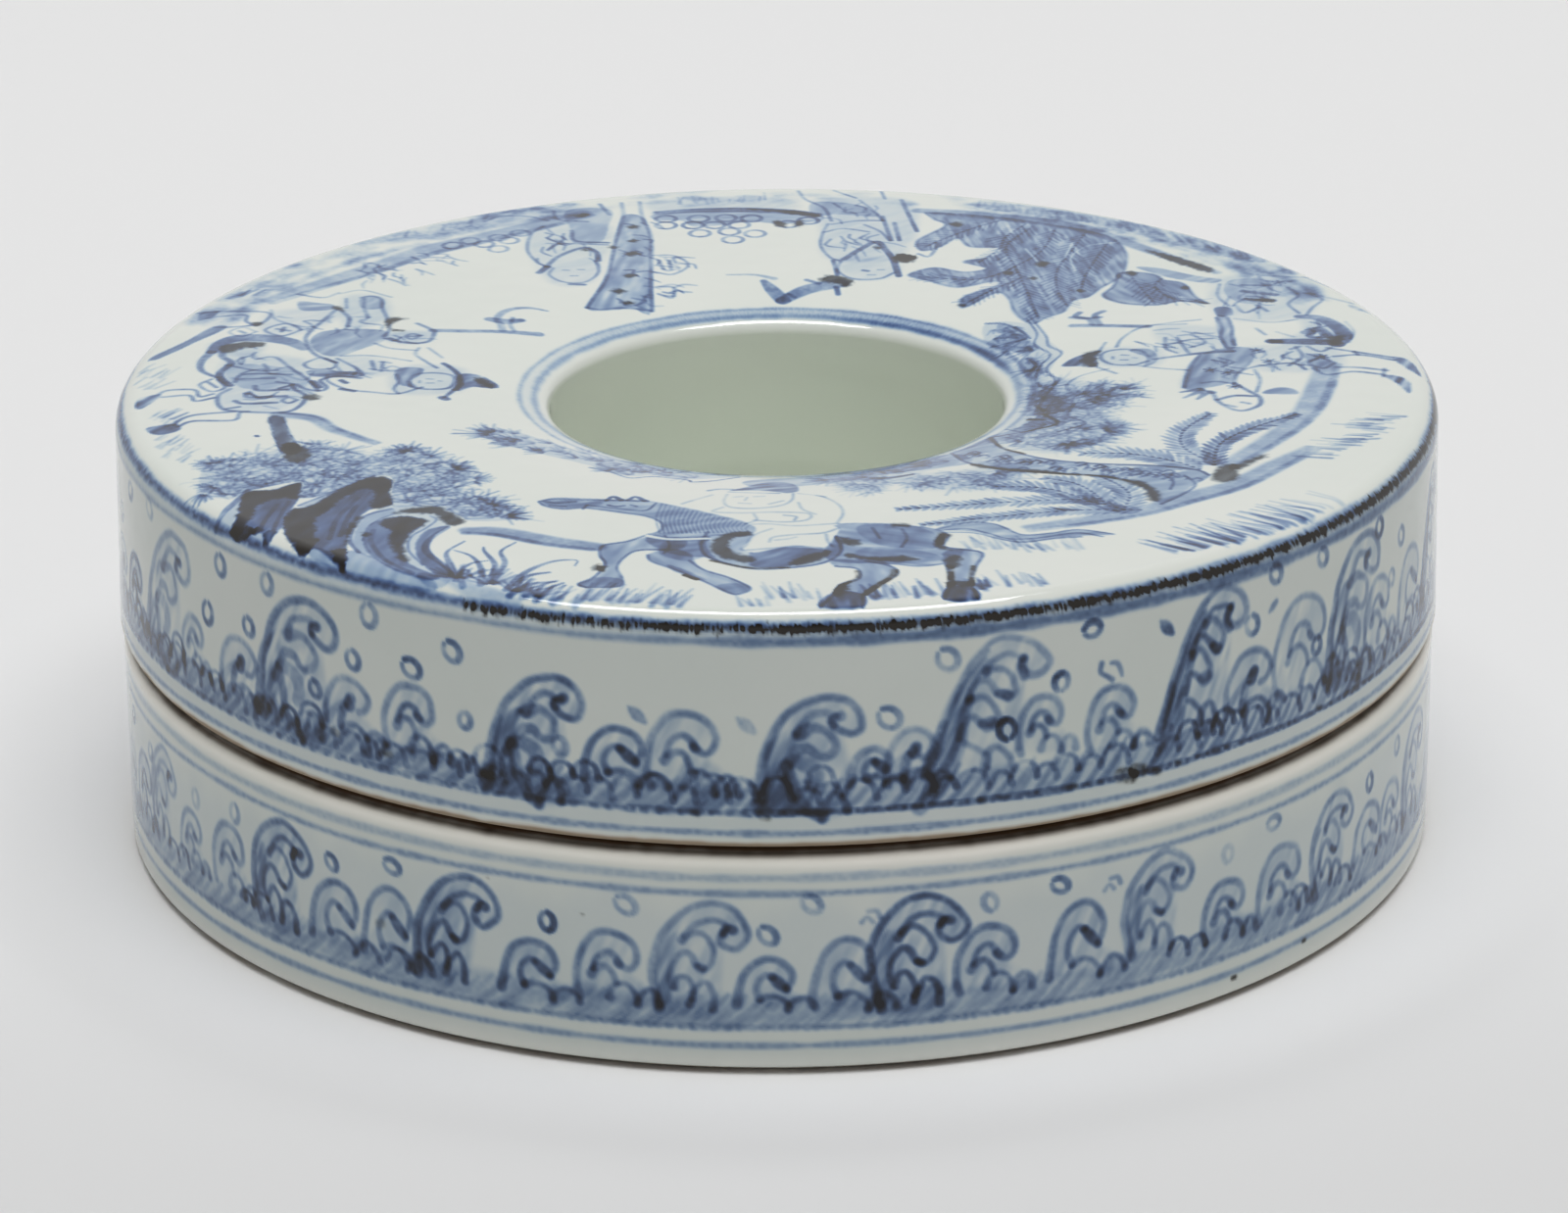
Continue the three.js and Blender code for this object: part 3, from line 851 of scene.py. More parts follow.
# %% The lid's wave band
LID_ROUND = 2.0 * math.pi * LID_RADIUS
WATER = 42.0
LID_SHARE = 0.88
lid_tall = [(-124.2, 44.6, 20.8, .60, "streaked", .08, 1.0), (-87.2, 44.8, 20.4, .86, "streaked", 0, 1.0),
            (-43.9, 43.0, 18.2, .95, "streaked", .03, 1.0), (-3.0, 42.8, 17.0, .82, "streaked", -.06, 1.12),
            (20.5, 42.0, 24.2, .76, "leaning", 0, 1.0), (57.6, 42.0, 25.0, .95, "leaning", .06, .78),
            (94.6, 45.0, 21.2, .72, "streaked", 0, .90), (130.5, 43.5, 21.5, .62, "leaning", 0, .92)]
lid_small = [(-134.5, 46.0, 9.5, .5, "high"), (-108.4, 46.4, 7.6, .60, "high"),
    (-96.9, 46.0, 8.6, .78, "dark"), (-72.4, 46.5, 8.3, .82, "dark"), (-60.6, 45.8, 10.3, .84, "high"),
    (-28.6, 46.2, 7.9, .92, "low"), (-18.6, 45.4, 11.8, .84, "high"), (10.2, 46.2, 5.2, .85, "low"),
    (15.6, 46.6, 7.4, .66, "dark"), (35.7, 48.4, 8.4, .72, "high"), (46.8, 46.8, 9.4, .80, "high"),
    (71.2, 46.8, 9.2, .86, "dark"), (82.0, 46.8, 14.4, .68, "high"), (106.2, 47.0, 10.3, .60, "high"),
    (118.5, 47.0, 10.4, .56, "low")]
HIDDEN_CRESTS = 11
lid_seen = len(lid_small)
lid_last = lid_tall[-1][0]
hidden_pitch = (LID_ROUND + lid_tall[0][0] - lid_last) / HIDDEN_CRESTS
for step in range(HIDDEN_CRESTS):
    x = lid_last + hidden_pitch * step
    if step:
        lid_tall.append((x, 43.4, rng.uniform(20.5, 22.5), rng.uniform(.6, .9),
            rng.choice(("streaked", "leaning")), 0, .95))
    lid_small.append((x + .42 * hidden_pitch, 46.4, rng.uniform(8.0, 9.5), rng.uniform(.6, .85), "dark"))
    lid_small.append((x + .72 * hidden_pitch, 46.4, rng.uniform(8.8, 10.6), rng.uniform(.6, .85), "high"))
KINDS = {"leaning": (LEANING, LEANING_STEM), "streaked": (STREAKED, STREAKED_STEM),
         "low": (LOW_CURL, None), "high": (HIGH_CURL, None), "dark": (DARK_CURL, None)}

around_share = (angles + np.pi) % (2.0 * np.pi) - np.pi
right_share = ease((around_share + 0.30) / 0.45)
band(wall_chart, 44.4, 4.2, 0.26 + 0.08 * (1.0 - right_share), wander=0.3, soft=1.6, seed=24, grain=0.3)
hatch(wall_chart, -12.0, 100.0, WATER + 0.1, 47.4, 0.37, spacing=2.15, lean=0.72, width=0.86)
hatch(wall_chart, 100.0, LID_ROUND - 12.0, WATER + 0.1, 46.6, 0.34, spacing=2.5, lean=1.0, width=1.15)
for x, low, height, tone, kind, lean, stretch in lid_tall:
    lines, stem = KINDS[kind]
    crest(wall_chart, (x, low), height, lines, LID_SHARE * tone, stem, 0.40 * tone, lean, stretch)
for x, low, height, tone, kind in lid_small:
    crest(wall_chart, (x, low), height, KINDS[kind][0], LID_SHARE * tone)
for start, stop in ((-117.0, -110.0), (-103.0, -98.5), (-82.0, -74.0), (-50.0, -45.5), (-37.0, -30.0),
        (-7.5, -4.0), (4.0, 9.0), (62.0, 70.0), (99.0, 105.0), (122.0, 129.0)):
    foam(wall_chart, start, stop, 46.2, 0.58)
foam(wall_chart, -132.0, 130.0, 44.6, 0.38)
foam(wall_chart, 130.0, LID_ROUND - 132.0, 45.4, 0.52)
print(len(lid_tall), "tall and", len(lid_small), "smaller crests on the lid")

# %% Spray and lines on the lid's wall
seen_drops = ((-121.4, 66.2, 3.0, .25, 30), (-96.5, 65.0, 3.2, .62, 10), (-100.5, 56.2, 3.4, .68, 0),
              (-89.4, 57.3, 2.9, .66, 20), (-84.7, 65.4, 3.1, .52, 0), (-63.7, 65.5, 3.4, .52, 5),
              (-49.2, 62.7, 3.2, .66, 35), (-66.9, 57.9, 2.9, .56, 15), (-56.2, 58.8, 3.3, .66, 60),
              (-74.6, 51.5, 2.6, .52, 30), (-47.2, 52.4, 2.4, .42, 0), (-32.2, 50.6, 2.6, .42, 20),
              (24.5, 64.3, 3.5, .42, 40), (15.9, 56.0, 3.5, .46, 50), (42.0, 58.5, 2.7, .95, 170),
              (33.5, 52.4, 3.1, 1.15, 190), (47.0, 65.8, 2.8, .78, 100), (81.6, 66.6, 2.9, .58, 30),
              (93.0, 66.0, 2.8, .56, 25), (76.5, 60.0, 3.0, .56, 10), (110.4, 65.4, 2.9, .74, 0),
              (119.5, 61.0, 2.9, .50, 15), (91.6, 52.4, 2.6, .48, 0), (115.4, 55.6, 2.6, .42, 20))
for x, height, size, depth, turn in seen_drops:
    drop(wall_chart, x, height, size, depth, turn)
for x, height, size, depth, turn in ((-20.6, 56.5, 3.0, .52, -42), (-4.8, 55.5, 3.0, .46, -42),
        (59.8, 63.6, 3.0, .78, -48), (81.0, 61.6, 1.9, .70, 40), (-12.4, 47.2, 1.6, .9, 60)):
    daub(wall_chart, x, height, size, depth, turn)
stroke(wall_chart, (48.6,60.2, 48.4,58.9, 49.6,58.0, 50.4,57.4), (.9, .7, .9), .62, soft=.6)
stroke(wall_chart, (50.2,60.0, 51.2,59.8, 51.8,58.6, 52.0,57.8), (.6, .9, .6), .55, soft=.6)
for x, *_ in lid_small[lid_seen:]:
    drop(wall_chart, x + rng.uniform(-2.0, 5.0), rng.uniform(59.0, 66.0), rng.uniform(2.7, 3.4),
        rng.uniform(0.5, 0.85), rng.uniform(-60.0, 60.0))
band(wall_chart, 40.3, 2.4, 0.06, wander=0.2, soft=1.2, seed=36, grain=0.2)
band(wall_chart, 41.9, 1.05, 0.42 + 0.42 * right_share, wander=0.16, soft=0.75, seed=21, grain=1.1)
band(wall_chart, 38.75, 1.05, 0.48, wander=0.1, soft=0.8, seed=27, grain=0.6)
print(len(seen_drops) + len(lid_small) - lid_seen, "drops of spray, and two lines round the lid's wall")

# %% Blots and specks of iron on the lid
for x, height, size, depth in ((52.8, 41.9, 2.4, 1.0), (55.0, 42.4, 2.0, .9), (58.2, 41.4, 1.1, .9),
        (-12.3, 41.7, .9, .9), (-2.2, 41.3, 1.0, .95), (62.0, 41.9, .8, .8), (44.0, 42.0, .8, .7),
        (29.6, 42.0, .9, .6), (92.4, 42.2, .9, .7), (102.6, 41.9, 1.0, .5), (-87.0, 45.4, 1.3, .6),
        (-78.0, 43.0, .8, .6), (-70.6, 45.6, 1.2, .55), (-60.8, 44.6, 1.3, .6), (-43.6, 44.6, 1.6, .7)):
    stroke(wall_chart, ((x - .4 * size, height + .1 * size), (x + .4 * size, height - .1 * size)), size,
        depth, layer="iron", soft=0.7, uneven=1.2)
print("a blot and specks of iron")

# %% The base's wave band
BASE_ROUND = 2.0 * math.pi * BASE_RADIUS
LOW_WIDTH = 8.6
base_tall = [(-124.9, 11.6, 15.8, .50, 0), (-88.6, 10.2, 17.5, .92, .0), (-56.3, 10.2, 17.3, 1.0, .16),
             (-17.9, 10.2, 17.3, .62, .08), (14.8, 10.0, 17.7, 1.02, 0), (54.2, 12.2, 15.9, .60, .02),
             (93.0, 10.8, 15.4, .62, 0), (125.0, 10.0, 17.4, .52, .04)]
base_small = [(-112.4, 12.3, 8.4, .46, "high"), (-100.9, 12.4, 10.3, .54, "high"),
    (-76.9, 11.2, 9.9, .72, "low"), (-66.4, 11.4, 11.2, .70, "low"), (-42.1, 10.8, 8.2, .80, "low"),
    (-29.7, 11.2, 10.7, .72, "high"), (-6.4, 11.4, 7.3, .70, "low"), (4.6, 11.2, 10.4, .70, "low"),
    (26.4, 11.6, 10.2, .74, "high"), (40.4, 11.8, 11.2, .70, "low"), (68.0, 11.0, 9.1, .72, "high"),
    (79.6, 11.0, 11.2, .62, "high"), (104.0, 11.8, 8.6, .52, "low"), (114.2, 11.8, 9.1, .46, "high")]
base_seen = len(base_small)
base_last = base_tall[-1][0]
base_pitch = (BASE_ROUND + base_tall[0][0] - base_last) / HIDDEN_CRESTS
for step in range(HIDDEN_CRESTS):
    x = base_last + base_pitch * step
    if step:
        base_tall.append((x, 10.2, rng.uniform(16.6, 17.8), rng.uniform(.55, .95), rng.uniform(0, .14)))
    base_small.append((x + .40 * base_pitch, 11.2, rng.uniform(8.2, 9.4), rng.uniform(.55, .8), "low"))
    base_small.append((x + .72 * base_pitch, 11.4, rng.uniform(9.6, 11.0), rng.uniform(.55, .8), "high"))
band(base_chart, 10.4, 4.4, 0.24, wander=0.4, soft=2.2, seed=63, grain=0.3)
hatch(base_chart, 0.0, BASE_ROUND, 7.8, 12.6, 0.20, spacing=1.7, lean=1.05, width=1.05)
for x, low, height, tone, lean in base_tall:
    crest(base_chart, (x, low), height, STANDING, tone, STANDING_STEM, 0.26, lean)
for x, low, height, tone, kind in base_small:
    stretch = min(1.0, LOW_WIDTH / height) if kind == "low" else 1.0
    crest(base_chart, (x, low), height, KINDS[kind][0], tone, stretch=stretch)
for start, stop in ((-118.5, -114.0), (-94.0, -90.5), (-62.0, -58.5), (61.0, 66.5), (86.5, 91.5),
        (98.5, 102.5)):
    foam(base_chart, start, stop, 11.4, 0.62)
base_drops = ((-106.9, 23.6, 2.8, .22, 0), (-94.9, 25.3, 3.0, .32, 0), (-72.4, 24.1, 2.6, .66, 40),
    (-60.6, 26.4, 2.9, .72, 70), (-34.7, 22.5, 2.9, .80, 10), (-22.7, 26.5, 3.4, .34, 55),
    (-1.9, 22.5, 3.1, .52, 40), (4.5, 27.4, 3.1, .50, 50), (31.0, 25.5, 2.8, .36, 200),
    (42.0, 26.5, 2.9, .56, 60), (82.0, 26.6, 2.8, .34, 90), (109.0, 24.1, 2.8, .62, 0),
    (120.2, 26.0, 2.8, .38, 0), (72.2, 24.4, 2.6, .20, 180))
for x, height, size, depth, turn in base_drops:
    drop(base_chart, x, height, size, depth, turn, slim=0.72)
for x in (13.0, 50.6):
    stroke(base_chart, ((x - 1.2, 24.2), (x - .4, 25.0), (x + .4, 24.2)), (.8, .6, .8), .36, soft=.6)
    stroke(base_chart, ((x - .2, 25.9), (x + 1.0, 25.9), (x + 1.5, 24.9)), (.7, .8, .9), .40, soft=.6)
for x, *_ in base_small[base_seen:]:
    drop(base_chart, x + rng.uniform(5.0, 9.0), rng.uniform(23.0, 26.5), rng.uniform(2.6, 3.2),
        rng.uniform(0.35, 0.75), rng.uniform(-60.0, 60.0), slim=0.72)
band(base_chart, 19.0, 16.0, 0.06, wander=0.5, soft=6.0, seed=66, grain=0.1)
band(base_chart, 31.5, 1.2, 0.26, wander=0.15, soft=0.9, seed=51, grain=0.5)
band(base_chart, 29.1, 1.0, 0.46, wander=0.10, soft=0.95, seed=54, grain=0.5)
band(base_chart, 7.7, 0.95, 0.36, wander=0.16, soft=0.95, seed=57, grain=0.8)
band(base_chart, 4.8, 0.95, 0.48, wander=0.10, soft=0.9, seed=60, grain=0.4)
for x, height, size, depth in ((74.0, 3.7, .9, 1.0), (90.2, 4.5, .8, .9), (-29.2, 24.3, .35, .6),
        (-44.0, 28.0, .3, .5)):
    stroke(base_chart, ((x - .3 * size, height), (x + .3 * size, height)), size, depth, layer="iron",
        soft=0.5)
stroke(base_chart, (-63.3,16.4, -62.8,16.7), 1.4, .5, layer="iron", soft=0.9)
print(len(base_tall), "tall and", len(base_small), "smaller crests on the base")

# %% [markdown]
# ## The scene on the top
# Riders go round the lid through a garden, past rocks, a pine, ferns and broad leaves: a common subject
# of painted porcelain. It is drawn anew here in the painter's own steps: thin washes first, outlines
# next, dark accents last. Each group has a sheet of its own, laid on the top, with its points in
# sixteenths of a millimetre.

# %% Drawing sheets
SHEET_STEP = 1.0 / 16.0
SEEN_DIP = 2.6
SEEN_SHOULDER = 30.0
DIP_ROUNDS = 6
HALVINGS = 12
UNDER_IRON = 0.3
eye = np.array(CAMERA_PLACE) / MM


def settled(flat):
    """Points drawn flat at the top's height, moved along the lines of sight down onto the dished top.

    In front, points beyond the flat part come to lie on the shoulder: halving finds where each line meets it.
    """
    rows = lid_painted[:shoulder_row]
    sight = (flat - eye[:2]) / (eye[2] - TOP_HEIGHT)
    points = flat
    for _ in range(DIP_ROUNDS):
        dip = TOP_HEIGHT - np.interp(np.hypot(points[:, 0], points[:, 1]), rows[:, 0], rows[:, 1])
        points = flat + np.minimum(dip, SEEN_DIP)[:, None] * sight
    low, high = np.zeros(len(flat)), np.full(len(flat), SHOULDER_RADIUS)
    for _ in range(HALVINGS):
        dip = 0.5 * (low + high)
        spot = flat + dip[:, None] * sight
        reach = np.hypot(spot[:, 0], spot[:, 1])
        out = np.clip(reach - shoulder_r, 0.0, SHOULDER_RADIUS)
        above = SHOULDER_RADIUS - np.sqrt(SHOULDER_RADIUS ** 2 - out ** 2) > dip
        low, high = np.where(above, dip, low), np.where(above, high, dip)
    rolled = spot * (1.0 + (SHOULDER_RADIUS * np.arcsin(out / SHOULDER_RADIUS) - out) / reach)[:, None]
    in_front = (np.hypot(flat[:, 0], flat[:, 1]) > shoulder_r) & (flat[:, 1] < SEEN_SHOULDER)
    return np.where(in_front[:, None], rolled, points)


def sheet(x, y):
    """A drawing sheet on the top, its corner in mm: points, x and y in turn, go right and down from it."""

    def place(points):
        points = np.array(points, float).reshape(-1, 2)
        return settled(np.column_stack((x + SHEET_STEP * points[:, 0], y - SHEET_STEP * points[:, 1])))

    return place


print("sheets are ready")

# %% Lines and tints on a sheet
def draw(place, *strokes, swell=1.0):
    """Brush strokes on a sheet: each is a width in mm (one, or one per point), a depth and its points.

    A swell above 1 makes them wider and softer, as where the brush was wet.
    """
    for width, depth, points in strokes:
        stroke(top_chart, place(points), swell * np.array(width), depth, soft=SOFT_EDGE * swell, uneven=0.7)


def tint(place, *shapes, streak=0.6):
    """Washes on a sheet: each is a depth, the lean of its streaks and its outline."""
    for depth, lean, outline in shapes:
        wash(top_chart, place(outline), depth, soft=0.6, streak=min(streak, 1.2 * depth), lean=lean,
            ragged=0.12)


def burn(place, *shapes, strength=0.90):
    """Dark accents that fired brown: iron has come up through the blue and hides most of it."""
    for outline in shapes:
        wash(top_chart, place(outline), UNDER_IRON * strength, soft=1.1, streak=0.1, ragged=0.5)
        wash(top_chart, place(outline), strength, soft=1.1, streak=0.06, layer="iron", ragged=0.5)


def shade(place, *shapes):
    """Pale colour with a soft edge: each shape is a depth and its outline."""
    for depth, outline in shapes:
        wash(top_chart, place(outline), depth, soft=2.6, streak=0.3, lean=40.0)


def scrub(start, stop, count, depth):
    """Low growth along the lid's edge: short soft strokes round it, between two angles from the front."""
    for angle in np.radians(rng.uniform(start, stop, count)):
        reach = rng.uniform(92.5, 100.8)
        length = rng.uniform(0.010, 0.030)
        turns = (angle, angle + length, angle + 2.0 * length)
        path = [(reach * math.sin(turn), -reach * math.cos(turn)) for turn in turns]
        stroke(top_chart, path, (0.9, rng.uniform(1.4, 3.0), 0.7), depth * rng.uniform(0.3, 1.4), soft=1.9,
            uneven=1.2)


def folds(place, low, high, count, length, lean, depth=0.36):
    """Fine folds and curls: short bent strokes scattered in a box from low to high, at an angle, the lean."""
    for _ in range(count):
        root = rng.uniform(low, high)
        turn = math.radians(lean + rng.normal(0.0, 24.0))
        out = length * rng.uniform(0.5, 1.3) * np.array((math.cos(turn), math.sin(turn)))
        bend = root + 0.5 * out + rng.normal(0.0, 0.25) * np.array((-out[1], out[0]))
        stroke(top_chart, place((root, bend, root + out)), (0.5, 0.6, 0.3), depth * rng.uniform(0.5, 1.3),
            soft=0.6)


def char(place, *lines):
    """Burnt edges: broken strokes of iron along lines, each a width in mm and its points."""
    for width, points in lines:
        stroke(top_chart, place(points), width, 0.9, layer="iron", soft=0.5, uneven=1.4)


def tips(place, lean, *shapes):
    """Black ragged ends of the accents, streaked along a lean in degrees."""
    for outline in shapes:
        wash(top_chart, place(outline), 0.9, soft=0.5, streak=0.7, lean=lean, ragged=0.55)
        wash(top_chart, place(outline), 0.8, soft=0.5, streak=0.8, lean=lean, layer="iron", ragged=0.55)


def clear(place, *outlines):
    """White left between colours."""
    for outline in outlines:
        reserve(top_chart, place(outline), soft=0.5, keep=0.04)


print("lines and tints are ready")

# %% Plants and ground on a sheet
def needles(place, centre, reach, start, stop, count, depth=0.5, width=0.58):
    """Pine needles or thin leaves: strokes fanned out from a point, between two angles in degrees."""
    middle = place([centre])[0]
    for angle in np.radians(np.linspace(start, stop, count)) + rng.normal(0.0, 0.09, count):
        out = np.array((math.cos(angle), math.sin(angle)))
        tip = middle + SHEET_STEP * reach * rng.uniform(0.62, 1.12) * out
        stroke(top_chart, (middle + 0.8 * out, tip), (width, 0.6 * width), depth * rng.uniform(0.5, 1.15),
            soft=0.6)


def thicket(place, outline, pitch, reach, depth, heading=90.0, spread=100.0, count=9):
    """Bursts of needles all over an outline, on a loosened grid of a given pitch, turned at random."""
    outline = np.array(outline, float).reshape(-1, 2)
    low, high = outline.min(axis=0), outline.max(axis=0)
    start, stop = outline, np.roll(outline, -1, axis=0)
    for x in np.arange(low[0], high[0], pitch):
        for y in np.arange(low[1], high[1], pitch):
            spot = np.array((x, y)) + rng.uniform(0.0, 1.0, 2) * pitch
            over = (start[:, 1] > spot[1]) != (stop[:, 1] > spot[1])
            rise = np.where(start[:, 1] == stop[:, 1], 1.0, stop[:, 1] - start[:, 1])
            meet = start[:, 0] + (spot[1] - start[:, 1]) * (stop[:, 0] - start[:, 0]) / rise
            turn = heading + rng.normal(0.0, 40.0)
            dark = depth * rng.uniform(0.65, 1.35)
            if np.count_nonzero(over & (spot[0] < meet)) % 2:
                span = reach * rng.uniform(0.75, 1.15)
                needles(place, spot, span, turn - spread, turn + spread, count, dark)


def frond(place, points, leaf, depth=0.5, step=1.4, width=0.95):
    """A fern's frond: a stem, with leaflets on both sides that lean towards its tip and shorten there."""
    path = flowing(place(points), step)
    stroke(top_chart, path, 0.4, depth, uneven=0.6)
    ahead = np.gradient(path, axis=0)
    ahead /= np.linalg.norm(ahead, axis=1)[:, None]
    grown = np.interp(np.linspace(0, 1, len(path)), (0, 0.25, 0.7, 1), (0.8, 1.0, 0.85, 0.35))
    for side in (-1.0, 1.0):
        out = 0.9 * ahead + 0.9 * side * np.column_stack((-ahead[:, 1], ahead[:, 0]))
        ends = path + SHEET_STEP * leaf * grown[:, None] * out * rng.uniform(0.75, 1.0, (len(path), 1))
        for root, tip in zip(path, ends):
            stroke(top_chart, (root, 0.5 * (root + tip), tip), (0.5 * width, width, 0.4 * width),
                depth * rng.uniform(0.6, 1.3))


def grass(place, start, stop, count, length, lean, depth=0.3, width=0.55, soft=0.7):
    """A row of short slanting strokes from start to stop, with a length and a lean from upright."""
    for share in np.linspace(0.0, 1.0, count):
        root = np.array(start) + share * (np.array(stop) - np.array(start)) + rng.normal(0.0, 9.0, 2)
        tall = length * rng.uniform(0.5, 1.15)
        turn = math.radians(lean + rng.normal(0.0, 7.0))
        tip = root + tall * np.array((math.sin(turn), -math.cos(turn)))
        stroke(top_chart, place((root, tip)), (width, 0.3), depth * rng.uniform(0.5, 1.4), soft=soft)


def bank(place, points, width, depth, edge=0.0):
    """A bank of ground: a broad stroke of thin colour, with a darker left (1) or right (-1) edge."""
    path = place(points)
    stroke(top_chart, path, width, depth, soft=1.3, uneven=0.6, pool=0.0)
    if edge:
        curve = flowing(path, 2.0)
        ahead = np.gradient(curve, axis=0)
        ahead /= np.linalg.norm(ahead, axis=1)[:, None]
        side = curve + 0.34 * edge * np.max(width) * np.column_stack((-ahead[:, 1], ahead[:, 0]))
        stroke(top_chart, side, 0.32 * np.max(width), 0.75 * depth, soft=0.8, uneven=1.0, pool=0.0)


def bubbles(place, centres, size, depth):
    """Small rings, as of fruit or foam, with a trace of colour inside."""
    for centre in np.reshape(centres, (-1, 2)):
        around = np.radians(np.linspace(80.0, 440.0, 10) + rng.uniform(0.0, 90.0))
        ring = np.array(centre) + size * np.column_stack((0.9 * np.cos(around), np.sin(around)))
        stroke(top_chart, place(ring), 0.75, depth * rng.uniform(0.7, 1.2), uneven=0.8)


print("plants and ground are ready")

# %% Lines round the hole
rim_share = ease((around_share - math.radians(95.0)) / 0.5) * ease((math.radians(168.0) - around_share) / 0.3)
far_share = ease((np.abs(around_share) - math.radians(110.0)) / 0.7)
band(top_chart, 40.6, 0.7, 0.28 + 0.10 * rim_share, wander=0.10, soft=0.9, seed=81)
band(top_chart, 38.2, 1.1, 0.30 + 0.22 * rim_share, wander=0.10, soft=1.2, seed=84, grain=0.3)
band(top_chart, 39.3, 3.0, 0.07 + 0.16 * far_share + 0.14 * rim_share, wander=0.1, soft=1.8, seed=87)
dark_share = ease((around_share - math.radians(102.0)) / 0.16)
dark_share *= ease((math.radians(136.0) - around_share) / 0.3)
band(top_chart, 38.4, 1.7, 0.42 * dark_share, wander=0.1, soft=1.6, seed=90, grain=0.4)
print("lines round the hole")

# %% [markdown]
# ### The dark horse and its rider, in front
# The horse is one mid-blue wash inside a darker line, with hatched mane and brown-black accents. The
# rider is almost bare white, in thin lines, and the robe and boot are kept free of the horse's colour.
# The face is plain.

# %% Front horse: washes
front = sheet(-53.5, -41.5)
HORSE_WASH = 0.37
tint(front,
    (HORSE_WASH, 20, (285,232, 330,214, 440,226, 520,222, 600,262, 690,318, 795,402, 790,470, 700,480,
        690,560, 720,650, 690,620, 640,610, 590,575, 545,500, 578,440, 582,390, 545,342, 480,312, 400,282,
        345,286, 300,264)),
    (HORSE_WASH, 70, (560,480, 500,510, 448,535, 440,600, 452,660, 432,742, 396,786, 412,810, 490,804,
        496,750, 482,680, 500,610, 530,570, 620,570, 640,500)),
    (HORSE_WASH, 120, (552,600, 562,644, 620,702, 682,772, 742,850, 766,860, 792,820, 742,752, 684,700,
        660,640, 650,590, 600,560)),
    (HORSE_WASH, 160, (985,420, 1040,404, 1130,410, 1222,442, 1256,484, 1246,556, 1290,580, 1260,660,
        1190,688, 1100,664, 1000,660, 960,600, 990,500)),
    (HORSE_WASH, 100, (985,640, 990,684, 1040,702, 1042,762, 1000,804, 984,862, 952,948, 1046,950, 1052,872,
        1082,812, 1130,742, 1122,690, 1090,650)),
    (HORSE_WASH, 90, (1240,640, 1252,760, 1248,820, 1236,902, 1312,900, 1302,800, 1312,700, 1334,610,
        1300,574, 1250,590)),
    (0.36, 10, (1228,446, 1260,412, 1316,394, 1370,410, 1402,442, 1436,482, 1500,472, 1566,452, 1650,486,
        1572,494, 1502,514, 1430,534, 1362,504, 1330,466, 1280,452)),
    (0.30, 60, (690,470, 672,540, 694,622, 790,696, 880,694, 966,662, 1004,580, 994,480, 900,470)))
print("horse in front is tinted")

# %% Front horse: lines and accents
draw(front, ((.4, .8, .7, .6), .55, (285,232, 330,214, 440,226, 545,236)),
    (.5, .55, (285,234, 300,264, 345,286, 400,282, 480,312, 545,342, 580,386, 578,440, 545,470, 500,510,
        446,536, 440,600, 454,660, 430,742, 396,786, 414,810)),
    (.45, .5, (414,810, 490,804, 496,750, 482,680, 500,610, 530,570, 600,566)),
    (.5, .5, (552,600, 562,644, 620,702, 682,772, 742,850, 766,860, 792,820, 742,752, 684,700, 650,640)),
    (.5, .5, (1000,404, 1040,400, 1130,408, 1222,440, 1256,484, 1246,556, 1290,580, 1334,606, 1314,700,
        1302,800, 1314,900)), (.5, .6, (990,684, 1040,702, 1042,762, 1000,804, 984,862, 952,948)),
    (.5, .5, (1060,650, 1122,690, 1130,742, 1082,812, 1054,872, 1048,950)),
    (.5, .5, (1250,680, 1254,760, 1248,820, 1238,900)),
    (.45, .45, (1080,660, 1140,676, 1190,688, 1250,668)),
    (.4, .45, (1236,440, 1310,398, 1372,412, 1430,482, 1500,474, 1566,452, 1646,482)),
    (.4, .45, (1240,452, 1300,440, 1350,470, 1400,510, 1470,506, 1560,474, 1620,500)),
    (.4, .45, (1250,462, 1320,470, 1370,506, 1430,534, 1500,512, 1570,500)),
    (.5, .5, (690,450, 676,540, 698,622, 790,694, 880,692, 962,660, 1004,584, 992,484)),
    ((.6, .9), .75, (446,230, 462,204, 482,226)), ((.6, .9), .75, (498,228, 516,206, 538,232)),
    (.45, .6, (400,262, 392,288)), (.4, .5, (404,262, 470,284, 540,300, 566,250)),
    (.5, .7, (452,262, 470,272, 490,266)), (.4, .6, (506,262, 520,272)),
    (.6, .5, (296,232, 330,244, 372,236)), (.4, .5, (312,262, 350,268)),
    (.5, .5, (1150,440, 1160,500, 1146,560)), (.5, .4, (1080,430, 1096,500)),
    (.4, .5, (590,470, 602,540, 590,590)))
for share in np.linspace(0.0, 1.0, 21):
    mane_x = 580 + 212 * share
    mane_top = 254 + 148 * share
    draw(front, (.36, .30, ((mane_x, mane_top), (mane_x - 12, 0.5 * (mane_top + 456)), (mane_x - 2, 456))))
tint(front, (0.26, 80, (1050,414, 1180,424, 1240,500, 1220,570, 1120,560, 1060,500)),
    (0.24, 60, (600,500, 690,490, 690,600, 640,640, 580,590)),
    (0.22, 20, (300,226, 430,232, 420,270, 330,272)),
    (0.22, 70, (1060,560, 1180,580, 1240,640, 1130,672, 1040,640)),
    (0.30, 90, (600,666, 640,700, 690,766, 664,756, 612,704)))
